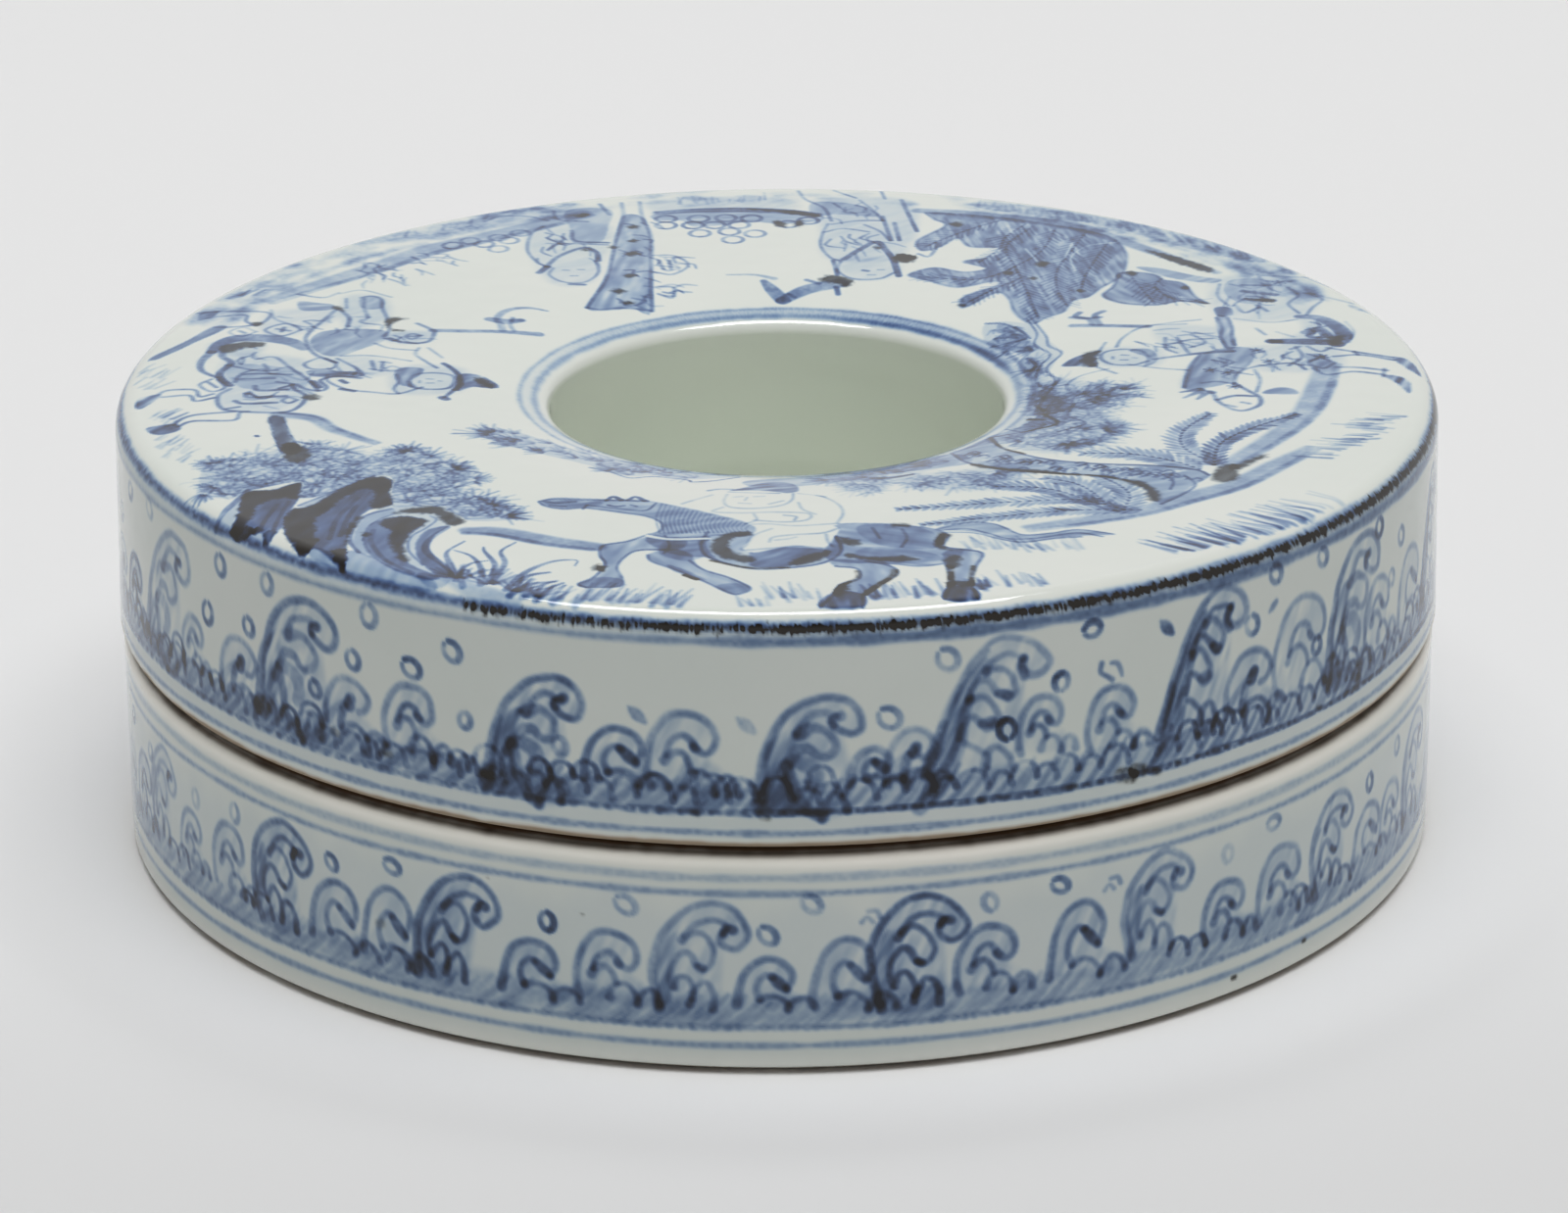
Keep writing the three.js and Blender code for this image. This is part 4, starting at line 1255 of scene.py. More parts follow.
char(front, (1.1, (1254,690, 1256,760, 1252,820)), (0.9, (1310,690, 1304,760, 1302,812)),
    (1.2, (1126,712, 1122,748, 1086,808, 1056,866)), (0.9, (1040,716, 1040,762, 1004,806, 988,856)),
    (0.8, (640,734, 668,762)), (0.9, (440,660, 448,704)), (1.0, (1240,470, 1236,540)),
    (0.7, (700,640, 790,690, 880,690)))
burn(front, (784,446, 726,468, 700,540, 718,612, 786,656, 802,622, 752,586, 742,524, 760,486, 792,474),
    (1006,496, 1046,512, 1046,546, 1010,540), (1018,598, 1080,626, 1150,616, 1184,646, 1110,656, 1024,628),
    (1238,474, 1262,480, 1244,560, 1276,586, 1226,560), (1246,628, 1282,620, 1276,690, 1254,700),
    (884,656, 936,600, 976,584, 960,634, 900,676), (1000,800, 1020,812, 1002,870, 984,866),
    (430,668, 456,676, 450,704, 432,700), (1126,404, 1160,404, 1172,424, 1128,424),
    (1250,786, 1300,790, 1304,824, 1254,816))
tint(front, (0.85, 90, (986,850, 1046,862, 1052,940, 950,940)),
    (0.85, 90, (1250,822, 1304,826, 1316,904, 1236,904)),
    (0.3, 30, (440,744, 492,756, 490,806, 402,808, 400,786)),
    (0.3, 30, (716,800, 770,790, 790,822, 764,862, 738,846)),
    (0.42, 40, (800,560, 870,556, 960,570, 976,600, 930,650, 860,688, 796,680, 790,620)))
print("horse in front is drawn")

# %% Rider in front
clear(front, (800,470, 832,430, 950,408, 1000,430, 986,500, 962,562, 900,548, 850,566, 800,590, 772,560,
    786,520), (700,200, 740,180, 900,180, 980,220, 1014,320, 1000,400, 800,410, 790,330, 700,310))
clear(front, (550,464, 600,488, 690,486, 690,502, 600,506, 548,482))
draw(front, (.3, .4, (552,462, 604,486, 692,484)), (.3, .4, (548,484, 604,506, 690,504)),
    (.32, .26, (736,192, 728,240, 742,280, 796,292, 862,274, 890,236, 894,190)),
    (.32, .26, (906,190, 962,212, 1002,270, 1012,330, 998,392)),
    (.32, .26, (726,282, 702,312, 770,322, 850,318, 930,330, 926,372, 872,386, 800,372)),
    (.32, .24, (906,252, 916,300, 946,334)), (.32, .24, (700,196, 660,228, 628,256)),
    (.32, .26, (794,400, 836,398, 900,412, 1000,398)), (.32, .28, (800,330, 806,370, 780,396)),
    (.34, .30, (842,430, 800,474, 782,540, 774,572, 850,560, 900,548, 958,562)),
    (.34, .28, (836,520, 846,488, 896,472, 962,462, 1000,430)), (.3, .26, (850,508, 880,500, 900,488)),
    (.34, .28, (970,470, 974,520, 986,556)), (.4, .42, (690,166, 716,156, 748,158)),
    (.34, .32, (740,176, 800,184, 860,188)), (.28, .28, (752,212, 772,208)), (.28, .28, (800,210, 824,208)),
    (.26, .3, (784,214, 778,236)), (.28, .26, (764,254, 792,258)), (.3, .3, (836,262, 870,240)),
    (.34, .32, (872,340, 900,350, 896,374)), (.3, .26, (950,206, 970,214)), swell=1.4)
tint(front, (0.58, 20, (744,166, 772,150, 822,114, 872,110, 902,136, 906,172, 880,186, 836,172, 790,166)))
print("rider in front is drawn")

# %% [markdown]
# ### Rocks, bamboo and reeds, front left
# Garden rocks are painted as dark slabs: violet-blue hearts in brown-black edges, with a pale rim beside
# them.

# %% Bamboo behind the rocks
corner = sheet(-101.0, -14.0)
tint(corner,
    (0.15, 40, (230,380, 330,340, 480,260, 620,330, 700,290, 800,370, 870,480, 860,620, 960,680, 990,790,
        880,800, 800,720, 700,710, 690,620, 640,570, 560,690, 470,710, 340,650, 230,600)))
thicket(corner, (225,390, 300,350, 470,250, 600,310, 640,380, 690,290, 740,300, 800,380, 870,480, 870,620,
    960,670, 1000,790, 920,820, 850,790, 800,710, 700,700, 680,560, 560,660, 470,680, 400,590, 300,640,
    240,610, 270,480), 46, 74, 0.28, count=8)
for x, y, reach, start, stop, count in ((245, 395, 60, 60, 250, 12), (262, 550, 60, 150, 290, 12),
        (240, 600, 60, 200, 300, 9), (715, 320, 64, 20, 200, 14), (760, 350, 66, -20, 120, 12),
        (830, 440, 66, -30, 110, 12), (880, 520, 50, -60, 80, 9), (930, 700, 70, -20, 120, 13),
        (970, 770, 62, -70, 60, 11), (480, 262, 50, 30, 160, 9)):
    needles(corner, (x, y), reach, start, stop, count, depth=rng.uniform(0.34, 0.55))
print("bamboo is drawn")

# %% Rocks
clear(corner, (330,600, 464,524, 472,640, 560,586, 640,488, 688,512, 694,694, 790,700, 874,790, 868,836,
    810,880, 800,1000, 860,1160, 830,1250, 600,1150, 400,990, 284,880, 300,700))
tint(corner,
    (0.98, 78, (338,602, 400,580, 464,530, 466,640, 456,710, 440,850, 416,960, 392,870, 352,930, 324,880,
        330,760)),
    (1.0, 72, (640,494, 684,514, 682,600, 692,690, 650,714, 622,770, 606,860, 602,960, 612,1142, 580,1070,
        530,980, 510,1040, 480,966, 450,866, 446,790, 456,720, 500,690, 552,600, 602,530)),
    (0.20, 80, (290,870, 304,720, 316,640, 344,576, 336,700, 326,820, 322,900)),
    (0.24, 60, (468,690, 520,620, 610,510, 640,486, 600,540, 552,604, 500,690)),
    (0.20, 75, (692,712, 640,752, 612,830, 606,930, 632,1012, 664,1010, 640,930, 642,850, 664,790,
        704,748)),
    (0.58, 75, (666,796, 720,768, 776,790, 770,840, 746,900, 736,1000, 760,1090, 834,1176, 800,1190,
        720,1120, 660,1020, 640,930, 646,850)),
    (0.62, 80, (838,838, 806,900, 800,990, 832,1080, 868,1164, 832,1172, 786,1080, 768,1000, 770,920,
        792,858)), (0.34, 70, (610,1000, 660,1030, 730,1120, 812,1186, 826,1262, 730,1240, 620,1168)),
    (0.34, 80, (524,970, 570,1010, 600,1090, 606,1150, 560,1090, 520,1030)),
    (0.30, 80, (352,900, 396,880, 410,950, 380,950)), (0.26, 30, (780,1150, 862,1160, 850,1230, 810,1240)),
    (0.16, 70, (690,700, 790,704, 866,800, 800,880, 790,1000, 850,1160, 640,1020, 620,880, 640,760)),
    streak=0.28)
burn(corner, (338,602, 400,580, 464,532, 464,640, 436,636, 400,650, 374,690, 362,780, 352,880, 326,880,
    330,760), (640,494, 684,514, 682,600, 692,690, 652,714, 642,690, 648,620, 638,576, 600,592, 566,660,
        544,724, 518,790, 524,870, 524,960, 510,1010, 484,966, 452,866, 446,790, 456,720, 500,690, 552,600,
        602,530), (612,780, 626,770, 606,900, 604,980, 596,880), (702,746, 740,712, 800,704, 838,746,
            872,796, 866,828, 840,832, 814,788, 798,756, 750,746), (672,796, 722,770, 780,790, 776,830,
                750,870, 740,930, 742,1010, 756,1070, 734,1060, 712,990, 700,910, 704,860, 680,836),
    (638,876, 652,880, 650,906, 638,900))
tips(corner, 80, (326,840, 396,850, 386,880, 350,930, 330,890), (404,880, 436,850, 416,956),
    (474,930, 530,920, 522,980, 508,1040, 486,990), (572,1000, 606,990, 612,1136, 590,1080))
draw(corner, ((.7, 1.1, .8), .42, (288,866, 302,710, 342,576)), (.4, .42, (470,690, 552,592, 640,484)),
    ((.5, .8, .6), .44, (696,716, 636,762, 610,850, 610,940, 636,1010)),
    (.4, .36, (704,752, 668,790, 644,850, 640,930)),
    (.4, .40, (790,766, 806,796, 784,850, 752,910, 752,1000, 790,1096)),
    ((.8, 1.2, .7), .46, (836,846, 796,930, 794,1010, 840,1100, 862,1164)),
    (.7, .40, (420,680, 400,780, 392,860)), (.7, .36, (446,660, 430,780, 424,850)),
    (.8, .36, (610,640, 570,780, 560,920)), (.8, .34, (640,600, 600,740, 584,900)),
    (.8, .34, (660,860, 660,940, 700,1060, 770,1150)))
tint(corner, (0.5, 75, (352,50, 384,52, 412,180, 442,300, 404,310, 370,160)))
burn(corner, (352,50, 384,52, 412,180, 442,300, 404,310, 370,160), strength=0.42)
burn(corner, (402,256, 440,250, 472,330, 456,384, 420,372))
draw(corner, (.35, .5, (350,52, 372,180, 404,320)), (.35, .5, (386,52, 414,180, 446,290)),
    (.7, .7, (330,188, 334,192)))
print("rocks and stump are drawn")

# %% Reeds, ribbon and grass, front left
bank(corner, (372,30, 460,60, 512,140, 562,192, 626,256), (2.6, 2.6, 2.2, 1.6, 0.5), 0.4, 1.0)
bank(corner, (880,866, 960,880, 1080,944, 1190,984), (2.2, 3.6, 3.8, 3.0), 0.44, -1.0)
for width, depth, points in (
        (1.0, .6, (866,1170, 850,1080, 842,1010, 880,940)),
        (.9, .55, (930,1230, 926,1120, 900,1040, 858,1000)),
        (.9, .6, (950,1200, 958,1100, 930,1010, 926,980)),
        (.9, .6, (956,1210, 980,1090, 968,1010, 1000,950)),
        (1.0, .6, (990,1260, 1030,1150, 1090,1080, 1146,1072, 1144,1108)),
        (.9, .5, (1010,1230, 1040,1170, 1086,1150)), (.9, .5, (890,1240, 878,1150, 900,1090, 940,1070)),
        (1.1, .5, (1000,1300, 1040,1230, 1100,1210)), (.9, .45, (1060,1330, 1080,1260, 1120,1220)),
        (.8, .5, (870,1200, 890,1130, 906,1170))):
    draw(corner, ((width, .9 * width, .5 * width, .2, .15)[:len(points) // 2], depth, points), swell=1.15)
bank(corner, (850,1180, 900,1240, 960,1300, 1010,1360), (2.0, 3.0, 3.4, 2.4), 0.26)
for x, y, reach, start, stop, count in ((880, 1190, 110, 20, 160, 12), (950, 1230, 120, 20, 150, 14),
                                        (1010, 1280, 110, 20, 120, 11), (1060, 1320, 90, 30, 110, 9)):
    needles(corner, (x, y), reach, start, stop, count, depth=0.4, width=0.7)
for tuft in (
        ((80, 250), (170, 330), 9, 60, 28, 0.2),
        ((60, 60), (110, 110), 6, 70, 28, 0.2),
        ((110, 330), (180, 400), 7, 60, 28, 0.18)):
    grass(corner, *tuft)
for tuft in (
        ((240, 850), (400, 925), 16, 110, 18, 0.34, 0.9),
        ((390, 880), (630, 925), 30, 110, 18, 0.30, 0.9),
        ((850, 880), (950, 900), 14, 90, -14, 0.30, 0.8),
        ((1080, 890), (1230, 870), 18, 90, -12, 0.30, 0.8),
        ((780, 930), (840, 940), 6, 60, -14, 0.24, 0.8),
        ((1300, 850), (1350, 820), 8, 70, -14, 0.5, 1.0),
        ((1370, 830), (1470, 800), 9, 90, -14, 0.28, 0.8),
        ((1300, 570), (1570, 580), 30, 76, -20, 0.22, 0.7),
        ((1060, 900), (1095, 880), 6, 80, -14, 0.36, 1.0)):
    grass(front, *tuft)
print("reeds and grass are drawn")

# %% [markdown]
# ### The pine, the ferns and the bank, front right
# The pine's trunk comes from the rim of the hole and bends down to the bank; its needles are fans of thin
# strokes.

# %% Pine and ferns
right_front = sheet(14.0, 1.0)
tint(right_front,
    (0.36, 20, (200,590, 230,560, 300,480, 330,560, 420,632, 540,672, 700,692, 790,722, 822,764, 780,830,
        740,900, 690,960, 684,900, 640,812, 560,762, 450,742, 330,712, 240,662)),
    (0.34, 70, (470,170, 520,230, 500,320, 480,400, 400,450, 310,520, 290,480, 360,420, 420,330, 430,230)),
    (0.30, 20, (-300,780, -120,740, 0,660, 120,630, 220,600, 250,660, 160,700, 40,740, -100,800, -260,830)))
draw(right_front, (.5, .6, (300,480, 330,560, 420,632, 540,672, 700,692, 790,722, 820,762)),
    (.5, .6, (200,592, 240,662, 330,712, 450,742, 560,762, 640,812, 672,880, 682,942)),
    (.45, .55, (760,760, 782,830, 742,902, 692,962)), (.4, .5, (700,740, 730,800, 720,860)),
    (.45, .55, (480,180, 440,300, 472,372, 400,432, 300,480)),
    (.45, .5, (520,230, 500,320, 540,380, 470,440)), (.4, .5, (400,340, 440,360, 470,400)),
    (.4, .5, (420,250, 450,290, 440,330)), (.4, .45, (340,420, 380,440, 410,430)))
thicket(right_front, (420,180, 520,150, 600,80, 690,90, 690,190, 610,270, 560,350, 660,390, 600,470,
    560,560, 440,580, 380,540, 300,500, 400,430, 430,330, 410,250), 38, 60, 0.22, heading=50.0, count=6)
NEEDLE_MASS = (387,-44, 433,24, 551,60, 650,110, 560,220, 601,321, 640,410, 525,560, 419,590, 330,510,
    391,252)
shade(right_front, (0.15, NEEDLE_MASS))
thicket(right_front, NEEDLE_MASS, 40, 62, 0.12, heading=30.0, spread=60.0, count=6)
for spot in flowing(right_front((250,600, 340,640, 480,690, 620,710, 740,740)), 1.1):
    x, y = spot + rng.normal(0.0, 1.2, 2)
    size = rng.uniform(0.35, 0.75)
    reserve(top_chart, ((x - size, y), (x, y - .6 * size), (x + size, y), (x, y + .6 * size)), soft=0.4,
        keep=0.3)
for spot in flowing(np.reshape((240,600, 330,650, 480,700, 620,730, 740,800), (-1, 2)), 9.0):
    x, y = spot + rng.normal(0.0, 18.0, 2)
    draw(right_front, (.4, .5, ((x, y), (x + 14, y - 12), (x + 26, y), (x + 18, y + 10))))
char(right_front, (0.7, (250,672, 330,712, 450,742, 560,764, 620,800)), (0.6, (300,490, 330,560, 380,600)),
    (0.6, (440,310, 470,380, 400,430)), (0.8, (400,350, 440,352)), (0.6, (420,240, 440,290)))
burn(right_front, (250,672, 330,700, 450,728, 450,746, 330,718, 260,690),
    (610,786, 650,800, 690,870, 686,936, 664,930, 660,860, 620,810),
    (852,702, 890,690, 884,790, 850,810, 824,790), (880,700, 960,620, 964,640, 896,720))
for x, y, reach, start, stop, count in (
        (600, 180, 92, 0, 110, 15), (560, 230, 66, -40, 90, 12), (640, 130, 60, 10, 80, 9),
        (480, 300, 60, 40, 170, 9), (580, 430, 84, -50, 90, 18), (490, 520, 84, -150, 20, 20),
        (380, 500, 60, 100, 250, 10), (440, 400, 50, 90, 220, 8), (300, 730, 70, -90, 40, 12),
        (120, 690, 60, 20, 170, 10), (40, 720, 54, 20, 170, 9), (440, 120, 60, -120, 60, 10),
        (430, 190, 50, -100, 60, 8)):
    needles(right_front, (x, y), reach, start, stop, count, depth=rng.uniform(0.24, 0.40), width=0.65)
for fern in (
        ((840,690, 772,560, 780,440, 850,320), 54, 0.44), ((836,690, 862,540, 942,432, 1064,326), 44, 0.66),
        ((800,720, 740,660, 640,606, 530,600), 60, 0.42), ((600,1000, 500,930, 330,940, 70,984), 44, 0.44),
        ((640,1000, 480,1000, 300,1040, 124,1090), 40, 0.44),
        ((600,1000, 620,900, 600,830, 560,770), 60, 0.42), ((540,960, 470,880, 400,840, 304,832), 54, 0.40),
        ((560,960, 530,870, 490,810, 430,776), 54, 0.38)):
    frond(right_front, *fern)
draw(right_front, ((.6, 1.0, .6), .8, (440,990, 466,996, 490,998)), (.9, .8, (580,1004, 586,1008)))
print("pine and ferns are drawn")

# %% Bank and grass on the right
bank(right_front, (1180,-60, 1164,30, 1136,160, 1096,300, 1036,430, 950,570, 866,690),
    (3.0, 4.2, 4.6, 4.4, 4.0, 3.4, 2.6), 0.33, 1.0)
bank(right_front, (1076,570, 990,690, 880,830, 760,920, 640,1010, 500,1070, 366,1112),
    (1.6, 3.6, 4.0, 4.4, 3.6, 3.2, 1.6), 0.34, 1.0)
for tuft in (
        ((1120, 650), (1200, 520), 14, 90, -80, 0.26, 0.6, 0.6),
        ((1190, 550), (1290, 440), 18, 90, -80, 0.32, 0.6, 0.6),
        ((1240, 410), (1340, 350), 14, 90, -80, 0.30, 0.6, 0.6),
        ((700, 1290), (840, 1225), 26, 130, -51, 0.34, 0.75, 0.6),
        ((830, 1230), (1040, 1070), 36, 140, -51, 0.36, 0.8, 0.6),
        ((1030, 1060), (1120, 970), 9, 120, -51, 0.22, 0.7, 0.7)):
    grass(right_front, *tuft)
print("bank and grass on the right are drawn")

# %% [markdown]
# ### The bough along the front rim of the hole

# %% Bough
BOUGH_LEFT = (110,-270, 180,-290, 300,-190, 420,-80, 500,-40, 600,0, 740,34, 760,66, 650,84, 560,56, 500,60,
    440,20, 400,-20, 300,-90, 180,-180)
BOUGH_RIGHT = (880,50, 920,90, 1040,110, 1140,90, 1220,40, 1300,-30, 1200,-60, 1080,0, 960,36)
for limb, depth in ((BOUGH_LEFT, 0.25), (BOUGH_RIGHT, 0.18)):
    tint(front, (0.6 * depth, 10, limb))
    thicket(front, limb, 34, 60, depth, heading=150.0, spread=40.0, count=6)
draw(front, (.45, .6, (400,-4, 452,30, 500,72, 560,64, 640,90, 650,104, 704,96, 764,72)),
    (.4, .45, (620,-10, 680,36, 760,56, 840,50)), (.4, .5, (900,40, 1000,30, 1100,-10)),
    ((.6, .9, .6), .8, (1084,86, 1130,84, 1184,60)), (.4, .45, (560,10, 600,40, 640,30)),
    (.4, .45, (960,70, 1010,50, 1060,60)), (.5, .7, (1020,40, 1034,52)), (.5, .7, (1104,40, 1116,52)))
for x, y, reach, start, stop, count in ((150, -250, 90, 90, 230, 14), (220, -200, 80, 110, 230, 10),
        (460, 20, 70, 60, 200, 13), (540, 40, 50, 20, 160, 9), (980, 100, 60, 120, 260, 10),
        (1150, 50, 60, 30, 150, 9)):
    needles(front, (x, y), reach, start, stop, count, depth=rng.uniform(0.22, 0.34), width=0.7)
for mass in ((1130,90, 1180,60, 1290,40, 1430,-10, 1450,60, 1400,160, 1300,175, 1180,160),
        (990,100, 1060,70, 1130,90, 1120,150, 1080,185, 1010,160)):
    shade(front, (0.16, mass))
    thicket(front, mass, 34, 58, 0.22, heading=-90.0, spread=80.0, count=6)
print("bough along the hole is drawn")

# %% [markdown]
# ### The pale riders at the sides
# These horses are left white, with dapples, dark saddle cloths and hooves. Their heads point the way they
# ride, round the ring, so seen from the front the left group faces us and the right one as well.

# %% Rider on the left: washes
left = sheet(-103.5, 46.0)
LINE_SWELL = 1.5
LEFT_KEPT = 0.88
RIGHT_KEPT = 0.78
tint(left, (0.40, 60, (470,350, 540,322, 640,340, 642,420, 586,488, 536,540, 484,520, 452,430)),
    (0.42, 10, (400,90, 460,108, 492,120, 490,160, 420,170, 400,140)),
    (0.46, 80, (688,650, 750,640, 752,690, 728,740, 750,790, 700,762)),
    (0.62, 50, (852,690, 906,704, 954,784, 940,804, 890,790, 852,822, 846,760)),
    (0.75, 60, (62,850, 104,830, 94,880, 60,944, 46,890)),
    (0.80, 60, (100,1080, 160,1056, 178,1100, 128,1136, 98,1110)),
    (0.50, 60, (150,180, 192,168, 180,222, 146,232)),
    (0.50, 60, (190,296, 226,306, 150,430, 66,560, 50,548, 120,430)),
    (0.60, 10, (470,652, 600,676, 590,706, 480,700)),
    (0.20, 40, (250,600, 420,640, 470,740, 440,800, 300,780)),
    (0.34, 70, (560,62, 612,60, 624,150, 570,152)))
shade(left, (0.12, (250,540, 440,560, 470,720, 500,800, 440,960, 280,960, 250,820)),
    (0.12, (330,180, 520,160, 450,330, 330,380)), (0.14, (520,60, 620,60, 640,240, 540,320)),
    (0.14, (690,640, 860,650, 850,830, 700,830)), (0.20, (640,360, 760,350, 740,440, 660,430)),
    (0.22, (200,430, 320,400, 320,520, 220,520)), (0.10, (480,540, 640,560, 660,690, 500,700)))
print("rider on the left is tinted")

# %% Rider on the left: lines
draw(left, ((1.2, 2.3, 2.4, 1.8, 1.2), .62, (440,480, 400,424, 330,392, 262,392, 222,434, 204,500)),
    ((1.1, .7, .5), .58, (204,500, 184,580, 192,650, 236,704)),
    (.8, .8, (232,480, 236,540, 262,590, 240,660, 246,710, 274,766)),
    (.42, .5, (140,182, 200,170, 320,180, 326,240, 300,282, 240,300, 196,300)),
    (.42, .45, (150,240, 200,212, 268,202, 272,252, 300,290)),
    (.35, .4, (306,340, 270,304, 236,340, 270,376, 306,340)),
    (.38, .45, (424,326, 376,276, 328,326, 376,374, 424,326)), (.5, .55, (376,306, 372,340)),
    (.5, .55, (358,318, 392,334)), (.5, .55, (262,332, 278,350)),
    (.5, .6, (504,152, 474,250, 446,340, 440,412, 470,522, 530,592)),
    (.5, .55, (510,160, 540,232, 540,300)), (.4, .5, (522,70, 528,150)),
    (.42, .5, (560,62, 590,50, 616,80, 622,150, 640,240, 650,330, 640,384)),
    (.42, .45, (570,70, 574,150, 590,230)), (.4, .4, (500,20, 460,60, 390,30)),
    (.4, .34, (330,160, 350,240, 420,300, 450,300)), (.34, .3, (500,30, 560,0, 640,60)),
    (.5, .6, (720,280, 760,330, 770,352, 756,430, 700,438, 656,400)),
    (.45, .5, (736,380, 712,366, 696,386, 714,408, 736,380)),
    (.4, .45, (736,480, 730,530, 760,590, 790,640)), (.36, .42, (620,440, 660,480, 730,500)),
    (.36, .4, (540,540, 620,540, 720,584)), (.45, .5, (620,580, 632,650)), (.4, .5, (650,590, 650,664)),
    (.4, .5, (530,560, 560,600, 590,650, 580,690)),
    (.4, .5, (480,556, 450,600, 470,640, 520,640, 530,600, 500,560)),
    (.4, .5, (514,690, 520,740, 570,800, 640,826, 704,838, 760,790)),
    (.5, .55, (440,760, 470,800, 510,810, 518,780, 500,730, 540,700, 600,716)),
    (.6, .75, (552,732, 566,752)), (.6, .75, (556,800, 590,816)), (.8, .75, (480,740, 500,784)),
    (.42, .5, (724,742, 740,690, 790,680, 834,704, 840,760, 824,800, 776,806, 734,786, 724,742)),
    (.32, .4, (770,726, 784,728)), (.32, .4, (772,758, 786,758)), (.28, .36, (800,742, 806,744)),
    (.3, .4, (752,740, 752,754)), (.36, .4, (690,690, 700,740, 690,800, 704,838)),
    (.6, .85, (806,606, 826,640, 846,690, 856,760, 846,812)), (.42, .75, (844,810, 820,872)),
    (1.1, .95, (818,872, 824,880)), (.45, .5, (324,560, 370,546, 420,640, 468,724, 500,812)),
    (.42, .45, (250,604, 330,650, 384,650)), (.5, .55, (284,740, 296,684, 360,676, 420,684)),
    (.5, .5, (300,716, 380,712)), (.42, .5, (346,600, 360,640)), (.42, .5, (390,740, 430,760, 400,790)),
    (.6, .6, (336,770, 350,806, 420,800)),
    (.5, .55, (276,792, 250,846, 262,930, 300,962, 420,974, 462,926, 470,850, 440,800, 430,760)),
    (.6, .6, (320,826, 330,860, 420,850)), (.6, .6, (296,886, 320,906, 400,900)),
    (.45, .55, (452,880, 430,862, 414,884, 432,904, 452,880)), (.42, .5, (280,944, 310,930)),
    (.45, .55, (100,826, 122,800, 186,798, 204,850, 236,830)),
    (.45, .55, (110,852, 176,840, 196,884, 240,860)),
    (.42, .5, (222,716, 196,760, 230,812, 262,780, 240,720)), (.42, .5, (216,740, 240,780)),
    (.45, .55, (334,966, 316,974, 312,1020, 290,1034, 204,1036, 170,1076)),
    (.45, .55, (300,966, 204,990, 168,1030, 160,1064)),
    ((1.1, 1.0, .9, 1.1), .52, (766,340, 850,346, 932,352, 1042,378)),
    ((.9, .8, .9, .7, .3), .5, (946,346, 940,300, 928,250, 938,200, 966,166, 1010,160, 1056,186)),
    (.5, .45, (976,346, 964,300, 968,240)), ((1.2, 1.6, 1.0), .55, (908,250, 950,270, 990,262)),
    (.35, .3, (760,480, 800,560)), swell=LINE_SWELL)
burn(left, (222,462, 256,430, 300,424, 336,436, 330,462, 286,470, 262,500, 234,506),
    (646,232, 690,240, 664,268, 652,310, 690,340, 660,340, 640,290),
    (470,840, 500,846, 506,876, 476,886, 462,862), (904,720, 948,786, 934,800, 890,740),
    (490,128, 516,150, 520,180, 496,150), (290,262, 318,258, 312,292, 296,296))
for patch in (
        ((270, 640), (430, 940), 16, 60, 20),
        ((480, 200), (600, 320), 9, 70, 70),
        ((500, 560), (660, 680), 10, 60, 20),
        ((340, 190), (460, 330), 8, 50, 40),
        ((640, 360), (740, 430), 6, 40, 10, 0.5),
        ((230, 420), (320, 560), 9, 50, 100, 0.5)):
    folds(left, *patch)
for tuft in (
        ((30, 660), (90, 720), 9, 90, 28, 0.2),
        ((40, 760), (70, 800), 6, 90, 28, 0.2),
        ((100, 1000), (150, 1020), 8, 80, 28, 0.24),
        ((130, 1180), (180, 1220), 8, 70, 28, 0.2),
        ((200, 60), (280, 30), 8, 80, 30, 0.34, 0.8)):
    grass(left, *tuft)
reserve(top_chart, left((-40,-40, 960,-40, 960,620, -40,620)), soft=3.0, keep=LEFT_KEPT)
print("rider on the left is drawn")

# %% Rider on the right: washes
right = sheet(29.0, 58.5)
tint(right,
    (0.36, 70, (620,780, 700,720, 764,742, 744,850, 706,930, 682,1000, 602,1044, 560,1034, 580,880)),
    (0.80, 70, (1110,810, 1140,820, 1160,880, 1166,964, 1130,880)),
    (0.80, 70, (1070,950, 1110,960, 1134,1010, 1124,1090, 1100,1010)),
    (0.42, 20, (756,1080, 790,1042, 830,1046, 846,1088, 800,1092)),
    (0.60, 70, (684,400, 724,396, 726,460, 690,470)),
    (0.42, 60, (440,740, 490,730, 512,780, 500,840, 470,872, 482,800)),
    (0.62, 60, (262,860, 300,790, 364,744, 352,800, 350,868, 300,862)),
    (0.30, 80, (740,170, 830,160, 850,240, 822,350, 760,362, 720,280)),
    (0.50, 60, (1036,380, 1060,400, 1090,452, 1050,420)), (0.30, 80, (886,790, 930,780, 950,840, 910,880)),
    (0.34, 70, (680,480, 716,480, 720,600, 716,720, 686,720)))
shade(right, (0.14, (700,160, 860,150, 960,300, 900,480, 700,480)),
    (0.12, (520,560, 680,560, 700,720, 560,760)), (0.12, (360,740, 520,730, 500,860, 370,860)),
    (0.12, (740,730, 960,720, 960,900, 760,900)), (0.20, (900,480, 1000,560, 980,700, 820,690, 900,600)),
    (0.26, (560,1030, 600,850, 640,780, 650,900, 610,1040)))
print("rider on the right is tinted")

